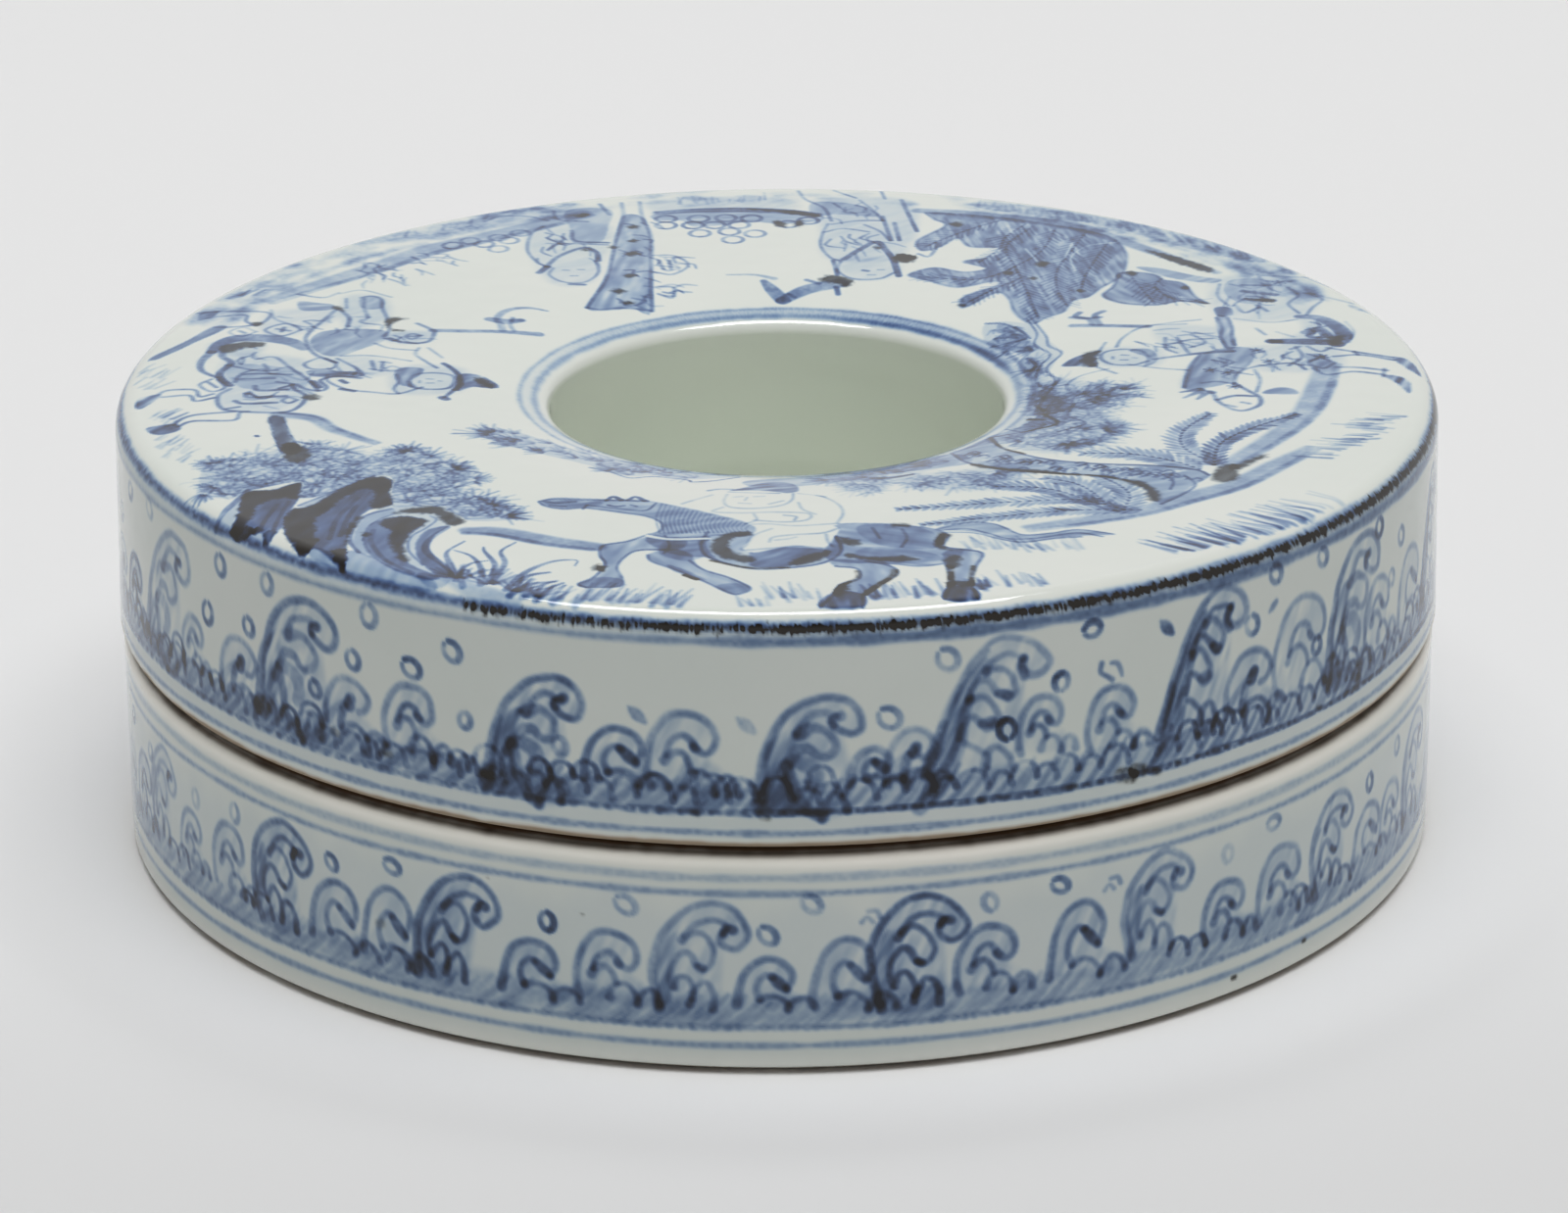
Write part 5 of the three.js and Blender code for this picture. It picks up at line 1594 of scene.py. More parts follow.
# %% Rider on the right: lines
draw(right, ((1.2, 1.8, 1.9, 1.6), .8, (900,476, 950,490, 990,560, 1002,640, 978,706)),
    ((1.4, 1.9, 1.7), .85, (812,676, 900,680, 972,690)), (1.3, .65, (906,606, 940,580, 962,640)),
    (.8, .6, (920,600, 914,640, 940,650)), (.35, .35, (1016,520, 1030,600, 1010,690)),
    (.5, .55, (602,1044, 630,1082, 640,1140, 670,1200, 702,1212, 742,1170, 746,1110, 720,1060, 690,1000)),
    (.55, .6, (640,1130, 684,1100, 734,1104)), (.8, .7, (626,1068, 632,1074)),
    ((.9, .3), .6, (602,1050, 552,1070)), ((.9, .3), .6, (604,1062, 556,1114)),
    ((.9, .3), .6, (612,1082, 590,1124)), (.5, .5, (660,1170, 680,1184)), (.5, .5, (700,1150, 716,1160)),
    (.42, .48, (692,1000, 710,920, 762,872, 852,852, 880,900)), (.4, .4, (750,900, 758,980, 742,1072)),
    (.42, .45, (620,780, 590,880, 562,1036)), (.4, .4, (610,1000, 650,990, 690,1010)),
    (.45, .55, (950,730, 1012,762, 1110,812)), (.45, .55, (960,800, 1030,790, 1112,832)),
    (.4, .45, (1016,762, 1024,790)), (.45, .55, (900,890, 930,942, 1000,920, 1072,944)),
    (.45, .55, (960,884, 1020,890, 1086,914)), (.45, .5, (1080,900, 1072,960)),
    (.45, .5, (958,850, 926,812, 892,850, 926,892, 958,850)), (.42, .5, (870,720, 880,800, 840,870)),
    (.42, .5, (900,720, 930,760, 960,730)), (.5, .5, (856,740, 880,720)),
    (.45, .5, (684,480, 692,560, 684,640, 692,722)), (.45, .5, (712,480, 718,560, 712,640, 714,704)),
    (.38, .42, (640,496, 560,520, 480,560, 430,640, 410,712)), (.38, .4, (620,600, 680,640)),
    (.36, .36, (500,540, 600,530)), (.42, .48, (540,640, 536,724, 562,764)), (.42, .48, (570,640, 592,764)),
    (.4, .45, (610,610, 640,680, 600,720)), ((.5, .8), .6, (500,812, 620,768, 704,752)),
    (.42, .5, (540,700, 600,660, 660,650)), (.34, .36, (730,490, 820,522, 892,500)),
    (.4, .5, (780,570, 800,622)), (.34, .36, (830,600, 872,642)), (.34, .36, (430,850, 500,880, 580,900)),
    (.4, .46, (488,790, 470,744, 420,732, 376,756, 366,806, 392,850, 444,856, 484,826)),
    (.3, .38, (420,776, 436,780)), (.3, .38, (416,816, 432,816)), (.28, .34, (448,798, 456,802)),
    (.3, .36, (396,790, 396,806)), (.34, .42, (364,744, 384,676)), (.34, .42, (350,870, 398,922)),
    (.32, .36, (380,884, 300,946, 266,1020, 288,1092)), (1.0, .6, (306,538, 400,540, 500,548)),
    (.7, .55, (358,530, 350,484, 318,462, 330,430)), (.7, .55, (378,530, 368,456, 392,420)),
    (.7, .5, (306,470, 340,480, 380,470)), (.4, .45, (820,120, 832,172, 900,182)),
    (.4, .45, (890,230, 912,300, 880,370, 902,450)), (.42, .45, (930,280, 972,332, 942,400, 920,462)),
    (.42, .45, (712,200, 700,300, 722,382)), (.4, .35, (830,130, 950,150)), (.4, .35, (940,280, 1050,372)),
    (.4, .35, (940,140, 1000,220)), (.9, .6, (770,262, 852,292)), (.9, .7, (772,330, 842,342)),
    (.5, .5, (770,210, 840,216)), (.5, .45, (740,380, 760,440, 800,400)), (.5, .45, (800,380, 820,430)),
    swell=LINE_SWELL)
for x, y in ((680, 920), (770, 746), (792, 832), (690, 1030), (870, 190), (930, 800), (640, 900)):
    for angle in (20, 80, 140):
        dx, dy = 17 * math.cos(math.radians(angle)), 17 * math.sin(math.radians(angle))
        draw(right, (.5, .55, ((x - dx, y - dy), (x + dx, y + dy))))
burn(right, (318,772, 364,746, 352,800, 350,866, 318,858), (806,664, 840,668, 836,690, 808,688),
    (790,326, 838,328, 838,352, 792,346), (960,650, 1000,640, 978,710, 960,700))
for patch in (
        ((760, 740), (920, 870), 12, 60, 80),
        ((720, 170), (870, 440), 18, 70, 70),
        ((430, 560), (660, 740), 14, 70, 20),
        ((600, 800), (690, 1000), 8, 60, 60),
        ((900, 500), (980, 680), 8, 60, 90, 0.5)):
    folds(right, *patch)
reserve(top_chart, right((100,-40, 1240,-40, 1240,720, 100,720)), soft=3.0, keep=RIGHT_KEPT)
print("rider on the right is drawn")

# %% Tree beside the hole, on the right
tint(right, (0.22, 60, (110,530, 150,540, 180,600, 170,650, 120,620)),
    (0.20, 80, (76,680, 110,640, 170,650, 210,700, 190,750, 130,740)),
    (0.20, 80, (150,830, 190,790, 214,860, 200,940, 170,950)),
    (0.18, 70, (180,1010, 210,1000, 250,1100, 240,1200, 170,1240, 160,1130)))
draw(right, (.5, .5, (200,470, 232,620, 236,700, 266,760, 222,880, 240,980, 206,1100, 180,1210)),
    (.42, .5, (190,480, 210,600, 200,690, 236,770, 206,860, 190,960, 200,1020)),
    (.5, .55, (80,516, 130,522, 170,580, 190,640)), (.7, .75, (176,800, 196,850, 180,900)),
    (.42, .5, (220,930, 250,960, 236,1010)))
tint(right, (0.14, 80, (80,520, 190,520, 230,640, 260,760, 200,960, 150,900, 160,760, 80,700)))
thicket(right, (90,515, 170,520, 190,610, 210,700, 180,750, 90,740, 70,650), 40, 52, 0.20, heading=280.0,
    spread=24.0, count=4)
thicket(right, (150,820, 215,790, 215,950, 165,950), 36, 44, 0.20, heading=80.0, spread=40.0, count=4)
thicket(right, (170,1010, 230,1060, 330,1070, 430,1010, 420,1090, 360,1180, 300,1240, 160,1240), 42, 56,
    0.15, heading=50.0, count=6)
for x, y, reach, start, stop, count in ((190, 640, 100, 130, 220, 11), (200, 720, 110, 150, 240, 12),
                                        (196, 880, 70, 180, 300, 9), (300, 1090, 90, 10, 100, 12),
                                        (330, 1130, 100, 0, 80, 13), (200, 1130, 70, 60, 200, 10),
                                        (280, 1190, 70, -30, 90, 10)):
    needles(right, (x, y), reach, start, stop, count, depth=rng.uniform(0.16, 0.28), width=0.6)
print("tree beside the hole is drawn")

# %% [markdown]
# ### Broad leaves and attendants at the back
# A clump of broad leaves fills the back right: one wash, then many fine veins, with white gaps between
# the leaves. Attendants on foot carry a dotted banner and a fan, and round fruit or foam hangs below the
# bank.

# %% Broad leaves
leaves = sheet(4.0, 98.5)
bank(leaves, (330,170, 440,196, 560,236, 700,296, 800,370, 900,490, 1000,610, 1110,740),
    (2.4, 3.2, 3.6, 3.8, 3.4, 3.0, 2.4, 1.6), 0.40)
CLUMP = (350,190, 430,200, 560,240, 680,300, 780,360, 850,430, 880,560, 870,700, 850,780, 800,860, 760,940,
    716,972, 690,1060, 640,1112, 600,1160, 560,1070, 550,960, 520,900, 440,1012, 420,1012, 432,930, 520,842,
    520,800, 420,852, 340,792, 290,742, 360,682, 440,722, 500,690, 440,632, 500,600, 540,560, 540,512,
    462,500, 430,424, 380,500, 330,530, 322,440, 400,310, 370,250)
RIGHT_LEAF = (850,740, 900,732, 950,760, 966,800, 1016,832, 1040,940, 1066,1002, 1000,982, 930,1012,
    842,992, 798,930, 830,850)
wash(top_chart, leaves(CLUMP), 0.24, soft=0.9, streak=1.0, lean=100.0, spacing=0.6)
tint(leaves, (0.30, 70, CLUMP), (0.46, 120, RIGHT_LEAF),
    (0.34, 40, (900,690, 960,700, 1060,770, 1120,800, 1090,830, 1010,800, 950,750)))
draw(leaves, (.5, .20, CLUMP + CLUMP[:2]), (.5, .30, RIGHT_LEAF + RIGHT_LEAF[:2]), swell=1.4)
ribs = ((640,320, 560,500, 580,700, 600,900, 620,1120), (700,340, 660,520, 600,640, 480,780, 320,760),
    (780,380, 740,520, 690,700, 680,860, 700,1020), (840,460, 800,600, 760,760, 740,900),
    (560,260, 480,330, 400,420, 340,500), (620,300, 560,420, 540,520, 480,640), (600,760, 520,860, 440,980),
    (960,790, 940,860, 980,960, 1050,990), (880,760, 900,860, 930,1000))
for rib in ribs:
    draw(leaves, (.5, .30, rib))
    path = flowing(np.reshape(rib, (-1, 2)), 26.0)
    ahead = np.gradient(path, axis=0)
    ahead /= np.linalg.norm(ahead, axis=1)[:, None]
    for side in (-1.0, 1.0):
        ends = path + rng.uniform(34.0, 58.0, (len(path), 1)) * (
            0.9 * ahead + side * 0.7 * np.column_stack((-ahead[:, 1], ahead[:, 0])))
        for root, tip in zip(path[1:-1], ends[1:-1]):
            draw(leaves, (.42, rng.uniform(0.14, 0.34), (root, 0.5 * (root + tip), tip)))
for width, points in ((.8, (740,470, 722,560, 704,620, 640,650)),
        (.7, (860,470, 780,500, 730,600, 736,720)), (.6, (570,310, 580,380)), (.6, (610,520, 640,640))):
    path = flowing(leaves(points), 1.0)
    near = np.vstack((path + 0.35 * width, path[::-1] - 0.35 * width))
    reserve(top_chart, near, soft=0.6, keep=0.35)
for x, y, size in ((430, 300, 20), (650, 656, 20), (620, 780, 10), (556, 736, 14), (884, 742, 16),
        (1018, 870, 9), (740, 890, 11), (424, 1004, 11)):
    burn(leaves,
        ((x - size, y), (x, y - 1.3 * size), (x + size, y - .3 * size), (x + .2 * size, y + 1.2 * size)))
burn(leaves, (936,540, 980,570, 1060,650, 1106,716, 1090,740, 1030,680, 960,590),
    (252,580, 280,556, 312,590, 300,630, 262,632), (1040,976, 1072,1004, 1046,992))
grass(leaves, (500, 140), (900, 340), 50, 60, 0, 0.14, 0.9)
grass(leaves, (880, 330), (1230, 640), 60, 80, -10, 0.16, 0.9)
tint(leaves,
    (0.10, 60, (500,90, 720,170, 900,290, 1100,440, 1240,600, 1220,650, 1060,540, 880,360, 700,240,
        500,150)))
print("broad leaves are drawn")

# %% Attendants: washes
back = sheet(-63.5, 101.0)
tint(back,
    (0.38, 80, (596,240, 650,250, 676,420, 682,640, 692,1072, 640,1050, 580,1062, 520,1042, 560,820,
        574,640, 584,420)),
    (0.34, 10, (680,230, 800,200, 960,200, 1130,240, 1136,300, 1030,320, 940,300, 880,330, 790,340, 760,290,
        690,280)), (0.26, 70, (1120,130, 1240,150, 1300,260, 1180,240, 1120,260)),
    (0.24, 70, (440,190, 560,180, 560,320, 540,480, 470,470, 460,380)))
shade(back, (0.12, (360,330, 560,330, 550,640, 520,830, 420,830, 350,540)),
    (0.14, (1150,130, 1380,110, 1400,400, 1330,640, 1160,640, 1140,400)),
    (0.12, (700,90, 1010,80, 1060,190, 700,200)), (0.14, (200,200, 420,160, 560,170, 400,290, 220,330)),
    (0.12, (1180,640, 1340,640, 1330,790, 1220,810)))
print("attendants are tinted")

# %% Attendants: lines, banner and fruit
draw(back, (.5, .4, (590,120, 598,250, 584,420, 574,640, 560,820, 520,1042)),
    (.5, .4, (640,110, 650,250, 676,420, 682,640, 684,860, 692,1072)),
    (.4, .4, (520,1042, 560,1060, 600,1046, 640,1052, 690,1072)),
    (.6, .65, (400,690, 432,600, 492,526, 530,560, 540,640)), (.8, .8, (384,740, 404,690)),
    (.38, .42, (420,700, 412,762, 452,822, 510,822, 542,740, 532,640)),
    (.4, .42, (380,330, 350,400, 345,540, 372,640, 402,690)), (.4, .4, (400,548, 432,490, 560,500)),
    (.5, .55, (460,370, 472,462, 562,482)), (.6, .6, (470,840, 506,846)),
    (.4, .4, (390,390, 440,440, 400,540)), (.4, .42, (684,596, 742,602, 782,682, 742,762, 692,742)),
    (.45, .45, (700,640, 716,720)), (.45, .45, (730,640, 736,720)),
    (.4, .4, (700,870, 744,876, 742,962, 706,930)), (.3, .36, (448,720, 462,722)),
    (.3, .36, (488,716, 502,716)), (.3, .34, (470,770, 486,770)), (.42, .4, (404,190, 420,270, 500,290)),
    (.5, .45, (530,130, 560,230)), (.4, .34, (220,280, 260,236, 340,240, 390,280)),
    (.4, .42, (1160,326, 1146,400, 1138,520, 1160,620, 1184,652)),
    (.4, .42, (1260,336, 1302,400, 1326,482)), (.5, .5, (1310,260, 1330,480)),
    (.5, .5, (1342,320, 1352,480)), (.5, .55, (1366,110, 1384,260, 1402,400)),
    (.42, .42, (1080,20, 1100,100, 1150,180, 1170,300)), (.4, .4, (1250,110, 1290,220, 1310,300)),
    (.4, .36, (1180,20, 1240,90)), (.4, .36, (1310,20, 1320,100)), (.4, .4, (1170,330, 1240,300, 1310,300)),
    (.75, .75, (1200,642, 1242,560, 1290,490, 1312,560, 1330,640, 1344,790)),
    (.4, .42, (1192,652, 1182,742, 1222,812, 1292,812, 1332,762)), (.5, .6, (1170,650, 1180,780)),
    (.5, .5, (1250,740, 1262,746)), (.3, .36, (1290,736, 1304,736)), (.3, .34, (1262,780, 1280,780)),
    (.4, .42, (1150,400, 1200,370, 1270,400)), (.45, .45, (1460,500, 1430,620, 1400,600)),
    ((2.4, 2.2, 1.6), .5, (1180,850, 1100,900, 1034,992)),
    ((1.8, 1.6, .8), .5, (1034,990, 1006,900, 984,826)), ((.8, .5, .2), .34, (1012,806, 960,772, 886,770)),
    (.6, .6, (1176,880, 1180,944)), (.6, .55, (1098,820, 1130,850)), (.5, .5, (1050,940, 1066,966)),
    swell=LINE_SWELL)
bubbles(back, (715,270, 790,330, 805,270, 880,266, 916,330, 950,272, 890,390, 900,462, 960,410, 810,404,
    1050,326, 1106,296, 716,330, 850,330), 31, 0.5)
bubbles(back, (140,496, 186,456, 226,486, 266,530, 292,456, 262,430, 320,390), 28, 0.38)
for x, y, size in ((626, 340, 18), (630, 466, 14), (628, 578, 20), (626, 772, 18), (600, 902, 22),
        (628, 1002, 18), (484, 230, 18), (576, 520, 12), (500, 544, 12), (1292, 540, 12), (1364, 630, 30)):
    burn(back, ((x - size, y), (x, y - size), (x + size, y), (x, y + size)))
burn(back, (1130,822, 1160,780, 1190,792, 1222,830, 1202,884, 1180,860),
    (940,186, 1060,200, 1138,242, 1122,264, 1040,222), (1010,300, 1034,300, 1046,350, 1026,350),
    (1074,300, 1090,290, 1092,340, 1070,350))
bank(back, (-330,960, -189,818, -61,692, 69,546, 214,435, 384,304, 487,209),
    (2.0, 4.0, 5.0, 5.4, 5.2, 4.4, 2.6), 0.30, -1.0)
for patch in (
        ((360, 340), (520, 620), 14, 70, 70),
        ((1160, 340), (1320, 600), 14, 70, 70),
        ((1130, 130), (1300, 300), 10, 70, 70),
        ((590, 300), (680, 1040), 22, 60, 60, 0.4),
        ((690, 580), (780, 760), 8, 60, 30, 0.4),
        ((700, 860), (760, 960), 6, 50, 20, 0.4)):
    folds(back, *patch)
bank(back, (690,218, 800,196, 940,194, 1060,216, 1130,246), (1.4, 2.0, 2.4, 2.4, 1.6), 0.5, 1.0)
grass(back, (740, 130), (1000, 110), 16, 60, 0, 0.16)
grass(back, (0, 420), (300, 220), 14, 50, 0, 0.18)
scrub(-160.0, -108.0, 220, 0.11)
scrub(112.0, 158.0, 220, 0.11)
scrub(160.0, 196.0, 40, 0.10)
folds(back, (-110, 640), (60, 800), 22, 60, 60, 0.34)
folds(back, (30, 560), (150, 640), 10, 60, 60, 0.30)
print("attendants and fruit are drawn")

# %% [markdown]
# ### The lines on the shoulder
# A blue line runs round the shoulder, and a paler one below it. In front a nearly black one covers it,
# broken and speckled, with an olive fringe: cobalt rich in iron came to the surface there and burnt dark
# in the kiln.

# %% Lines on the shoulder
LINE_HEIGHT = 70.15
iron_share = ease((around_share + math.radians(32.0)) / math.radians(16.0))
iron_share *= ease((math.radians(112.0) - around_share) / math.radians(30.0))
iron_share *= 0.50 + 0.50 * ease((around_share + math.radians(8.0)) / math.radians(20.0))
fray = cloud(angles / TURN / 4.0, angles * 0.0, 41, COLUMNS // 4)
band(wall_chart, 68.1, 0.8 + 0.8 * right_share, 0.38 + 0.22 * right_share, wander=0.12, soft=1.1, seed=30,
    grain=0.4)
band(wall_chart, 69.1, 2.6, 0.12 + 0.12 * right_share, wander=0.2, soft=1.6, seed=33, grain=0.5)
band(wall_chart, LINE_HEIGHT + 0.35, 1.15, 1.0 - 0.30 * iron_share, wander=0.10, soft=1.6, seed=49, grain=0.8)
band(wall_chart, LINE_HEIGHT - 0.10, 0.65, iron_share * (0.12 + 0.85 * fray), wander=0.10, soft=1.1,
    layer="iron", seed=43, grain=1.6)
band(wall_chart, LINE_HEIGHT - 0.55, 1.2, 0.22 * iron_share, wander=0.15, soft=0.9, layer="iron", seed=46,
    grain=1.6)
for turn in rng.uniform(-26.0, 95.0, 1900):
    x = math.radians(turn) * LID_RADIUS
    up = LINE_HEIGHT + rng.normal(0.22, 0.30)
    speck = ((x, up), (x + rng.uniform(-0.1, 0.1), up - rng.uniform(0.2, 1.0)))
    stroke(wall_chart, speck, rng.uniform(0.18, 0.34), rng.uniform(0.25, 0.85), layer="iron", soft=0.4,
        pool=-0.4)
print("lines on the shoulder")

# %% [markdown]
# ## Bare clay, dirt, and painted light and shade
# Where one piece rests on another, and on the rings it stands on, the glaze was wiped off before firing,
# or the pieces would have stuck. The bare clay there is buff and matt. Over the years dirt has settled in
# the seam; its dark brown there is painted shade as well, where the gap between the pieces lies in shade.

# %% Masks along the profiles
def within(value, low, high, soft):
    """1 between low and high, falling to 0 over the soft distance outside them."""
    return ease(1.0 - np.maximum(low - value, value - high) / soft)


def lid_bare(r, z, wave):
    """Bare clay on the lid: its two rims, and a little way up from them."""
    return ease((LID_EDGE + 0.20 + 0.55 * wave - z) / 0.7)


def lid_dirt_and_shade(r, z, wave):
    """Dirt on the lid's outer rim, and painted shade under it, where the seam opens."""
    stain = 0.46 * ease((LID_EDGE + 0.10 + 0.40 * wave - z) / 0.6)
    # Painted shade: the rim's underside, in the gap, goes dark brown.
    seam = ease((LID_EDGE - 0.55 + 0.2 * wave - z) / 0.4)
    return np.maximum(stain, seam) * within(r, 101.0, LID_RADIUS, 0.5)


def base_bare(r, z, wave):
    """Bare clay on the base: the two seats, the lips, and the rings that it stands on."""
    lips = ease((z - SEAT_HEIGHT + 0.55 - 0.3 * wave) / 0.3)
    feet = ease((0.75 + 0.5 * wave - z) / 0.35)
    return np.maximum(lips, feet)


def base_dirt_and_shade(r, z, wave):
    """Dirt and painted shade in the seam, on the outer seat; a trace of soiling on the foot's edge."""
    # Dirt and painted shade: the base's seat and rim in the seam go dark brown, as the lid shades the gap.
    seam = ease((z - SEAT_HEIGHT + 1.45 - 0.40 * wave) / 1.0) * within(r, 101.5, BASE_RADIUS, 0.5)
    foot = 0.35 * within(z, 0.2, 0.9, 0.6) * within(r, 101.0, BASE_RADIUS, 0.5)
    return np.maximum(seam, foot * ease(1.6 * wave))


def side(r, z, wave):
    """The outer wall from the shoulder down: painted shade darkens its white; its cobalt has a ramp of its
    own.
    """
    return ease((TOP_HEIGHT - 0.7 - z) / 2.4) * ease((r - 90.0) / 8.0)


def cream_and_light(r, z, wave):
    """The base's rim and foot, where the glaze is thicker and warmer; painted light also makes the rim
    lighter.
    """
    # Painted light: the rim is made lighter, as well as warmer, where the lid's overhang would shade it.
    rim = ease((z - SEAT_HEIGHT + 4.0) / 2.6)
    foot = 0.35 * ease((4.2 - z) / 2.5)
    return np.maximum(rim, foot) * ease((r - 95.0) / 4.0)


def in_hole(r, z, wave):
    """The wall of the hole, where the glaze is thicker and greener."""
    return ease((TOP_HEIGHT - 3.5 - z) / 1.8) * ease((45.0 - r) / 3.0)


def mask(rule, profile, columns):
    """A rule's values on a profile's rows and the given columns, with a slow waver round the ring."""
    turns = columns * TURN / (2.0 * np.pi)
    waver = cloud(turns * 90.0, turns * 0.0, 71, 90) + 0.5 * cloud(turns * 400.0, turns * 0.0, 73, 400)
    r, z = (np.repeat(profile[:, axis:axis + 1], len(columns), axis=1) for axis in (0, 1))
    return rule(r, z, np.broadcast_to(waver * 0.67, r.shape))


print("masks are ready")

# %% [markdown]
# ## Carrying the profiles round
# Each piece is built as eight wedges that meet edge to edge, because its painted rows need many points.
# Close columns carry the painted rows, and one column in four the plain ones; a row of wider faces joins
# the two. A kiln leaves nothing quite true: the lid's rim rises by about half a millimetre at the sides.

# %% Wedges
WEDGES = 8
STRIDE = 4
PAINTED_SHARE = 0.86
PLAIN_SHARE = 0.97
UV_GAP = 0.002
END_SCALE = 0.024
END_PLACE = (0.02, 0.974)
END_SHIFT = (0.1, 0.0)


def warped(profile, columns, amount):
    """A profile carried round to some columns: x = r sin, y = -r cos; the seam's rim rises at the sides."""
    turn = columns * TURN
    r, z = profile[:, 0:1], profile[:, 1:2]
    waver = amount * ease((SEAT_HEIGHT + 8.0 - z) / 6.0) * np.sin(turn) ** 2
    up = np.broadcast_to(z + waver, (len(r), len(turn)))
    return np.stack((r * np.sin(turn), -r * np.cos(turn), up), -1)


def grid_faces(start, rows, columns):
    """Quads between the rows and columns of a grid whose points are numbered row by row from start."""
    row, column = np.meshgrid(np.arange(rows - 1), np.arange(columns - 1), indexing="ij")
    corner = (start + row * columns + column).reshape(-1, 1)
    return corner + np.array((0, columns, columns + 1, 1))


print("profiles can be carried round")

# %% One wedge
def wedge(name, painted, plain, layers, rules, lift, part):
    """One eighth of a piece as a mesh: painted grid, plain grid, two joining rows and two flat ends."""
    fine = np.arange(part * COLUMNS // WEDGES, (part + 1) * COLUMNS // WEDGES + 1)
    wide = fine[::STRIDE]
    points = np.vstack((warped(painted, fine, lift).reshape(-1, 3), warped(plain, wide, lift).reshape(-1, 3)))
    offset = len(painted) * len(fine)
    fine_last = (len(painted) - 1) * len(fine)
    plain_last = offset + (len(plain) - 1) * len(wide)
    step = np.arange(len(wide) - 1)[:, None]
    back = np.arange(STRIDE, 0, -1)
    leave = np.hstack(
        (fine_last + STRIDE * step, offset + step, offset + step + 1, fine_last + STRIDE * step + back))
    arrive = np.hstack((plain_last + step, STRIDE * step + np.arange(STRIDE + 1), plain_last + step + 1))
    loop_start = np.concatenate(
        (np.arange(len(painted)) * len(fine), offset + np.arange(len(plain)) * len(wide)))
    loop_stop = loop_start + np.where(loop_start < offset, len(fine) - 1, len(wide) - 1)
    quads = np.vstack((grid_faces(0, len(painted), len(fine)), grid_faces(offset, len(plain), len(wide))))
    faces = [quads, leave, arrive, loop_start[::-1][None, :], loop_stop[None, :]]

    mesh = bpy.data.meshes.new(name)
    mesh.vertices.add(len(points))
    mesh.vertices.foreach_set("co", (points * MM).astype(np.float32).ravel())
    corners = np.concatenate([group.ravel() for group in faces])
    sizes = np.concatenate([np.full(len(group), group.shape[1]) for group in faces])
    mesh.loops.add(len(corners))
    mesh.loops.foreach_set("vertex_index", corners.astype(np.int32))
    mesh.polygons.add(len(sizes))
    mesh.polygons.foreach_set("loop_start", np.concatenate(([0], np.cumsum(sizes)[:-1])).astype(np.int32))
    smooth = np.ones(len(sizes), bool)
    smooth[-2:] = False
    mesh.polygons.foreach_set("use_smooth", smooth)

    across = np.concatenate((np.tile(np.linspace(0, 1, len(fine)), len(painted)),
                             np.tile(np.linspace(0, 1, len(wide)), len(plain))))
    fine_up = PAINTED_SHARE * lengths(painted) / lengths(painted)[-1]
    plain_up = np.linspace(PAINTED_SHARE + UV_GAP, PLAIN_SHARE - UV_GAP, len(plain))
    up = np.concatenate((np.repeat(fine_up, len(fine)), np.repeat(plain_up, len(wide))))
    unwrapped = np.column_stack((across[corners], up[corners]))
    counts = np.cumsum([group.size for group in faces])
    unwrapped[counts[1]:counts[2], 1] = np.maximum(unwrapped[counts[1]:counts[2], 1], PLAIN_SHARE - UV_GAP)
    arriving = corners[counts[1]:counts[2]] < offset
    unwrapped[counts[1]:counts[2], 1][arriving] = PLAIN_SHARE
    ends = np.concatenate((painted, plain))
    flat = (ends - ends.min(axis=0)) / np.ptp(ends, axis=0).max() * END_SCALE + END_PLACE
    unwrapped[counts[2]:counts[3]] = flat[::-1]
    unwrapped[counts[3]:] = flat + END_SHIFT
    uv = mesh.uv_layers.new(name="OFBake")
    uv.data.foreach_set("uv", unwrapped.astype(np.float32).ravel())

    values = {}
    for layer, cells in layers.items():
        values[layer] = np.concatenate((cells[:, fine % COLUMNS].ravel(), np.zeros(len(plain) * len(wide))))
    for layer, rule in rules.items():
        values[layer] = np.concatenate((mask(rule, painted, fine).ravel(), mask(rule, plain, wide).ravel()))
    for layer, value in values.items():
        attribute = mesh.attributes.new(layer, "FLOAT", "POINT")
        attribute.data.foreach_set("value", value.astype(np.float32))
    mesh.update(calc_edges=True)
    edges = np.empty(2 * len(mesh.edges), np.int32)
    mesh.edges.foreach_get("vertices", edges)
    edges = edges.reshape(-1, 2)
    at_end = np.isin(edges, loop_start).all(axis=1) | np.isin(edges, loop_stop).all(axis=1)
    sharp = mesh.attributes.new("sharp_edge", "BOOLEAN", "EDGE")
    sharp.data.foreach_set("value", at_end)
    mesh.validate()
    return mesh


print("wedge of", COLUMNS // WEDGES, "columns,", len(lid_painted) + len(lid_plain), "rows on the lid")

# %% [markdown]
# ## Glaze, cobalt, iron and clay
# Cobalt lies under the glaze and takes light away, so it is a colour that multiplies the white below:
# thin cobalt is a clear pale blue, thick cobalt nearly black. Iron covers it where it burnt through. Both
# pieces share these, so they are node groups. The glaze itself is glossy and a little uneven; it is
# greener in the hole, where it is thick, and creamier at the base's rim and foot. The outer walls get a
# darker white, as painted shade where less of the light from above falls, the base's rim a lighter one,
# as painted light where the lid would shade it, and the seam a dark brown that is dirt and painted shade.

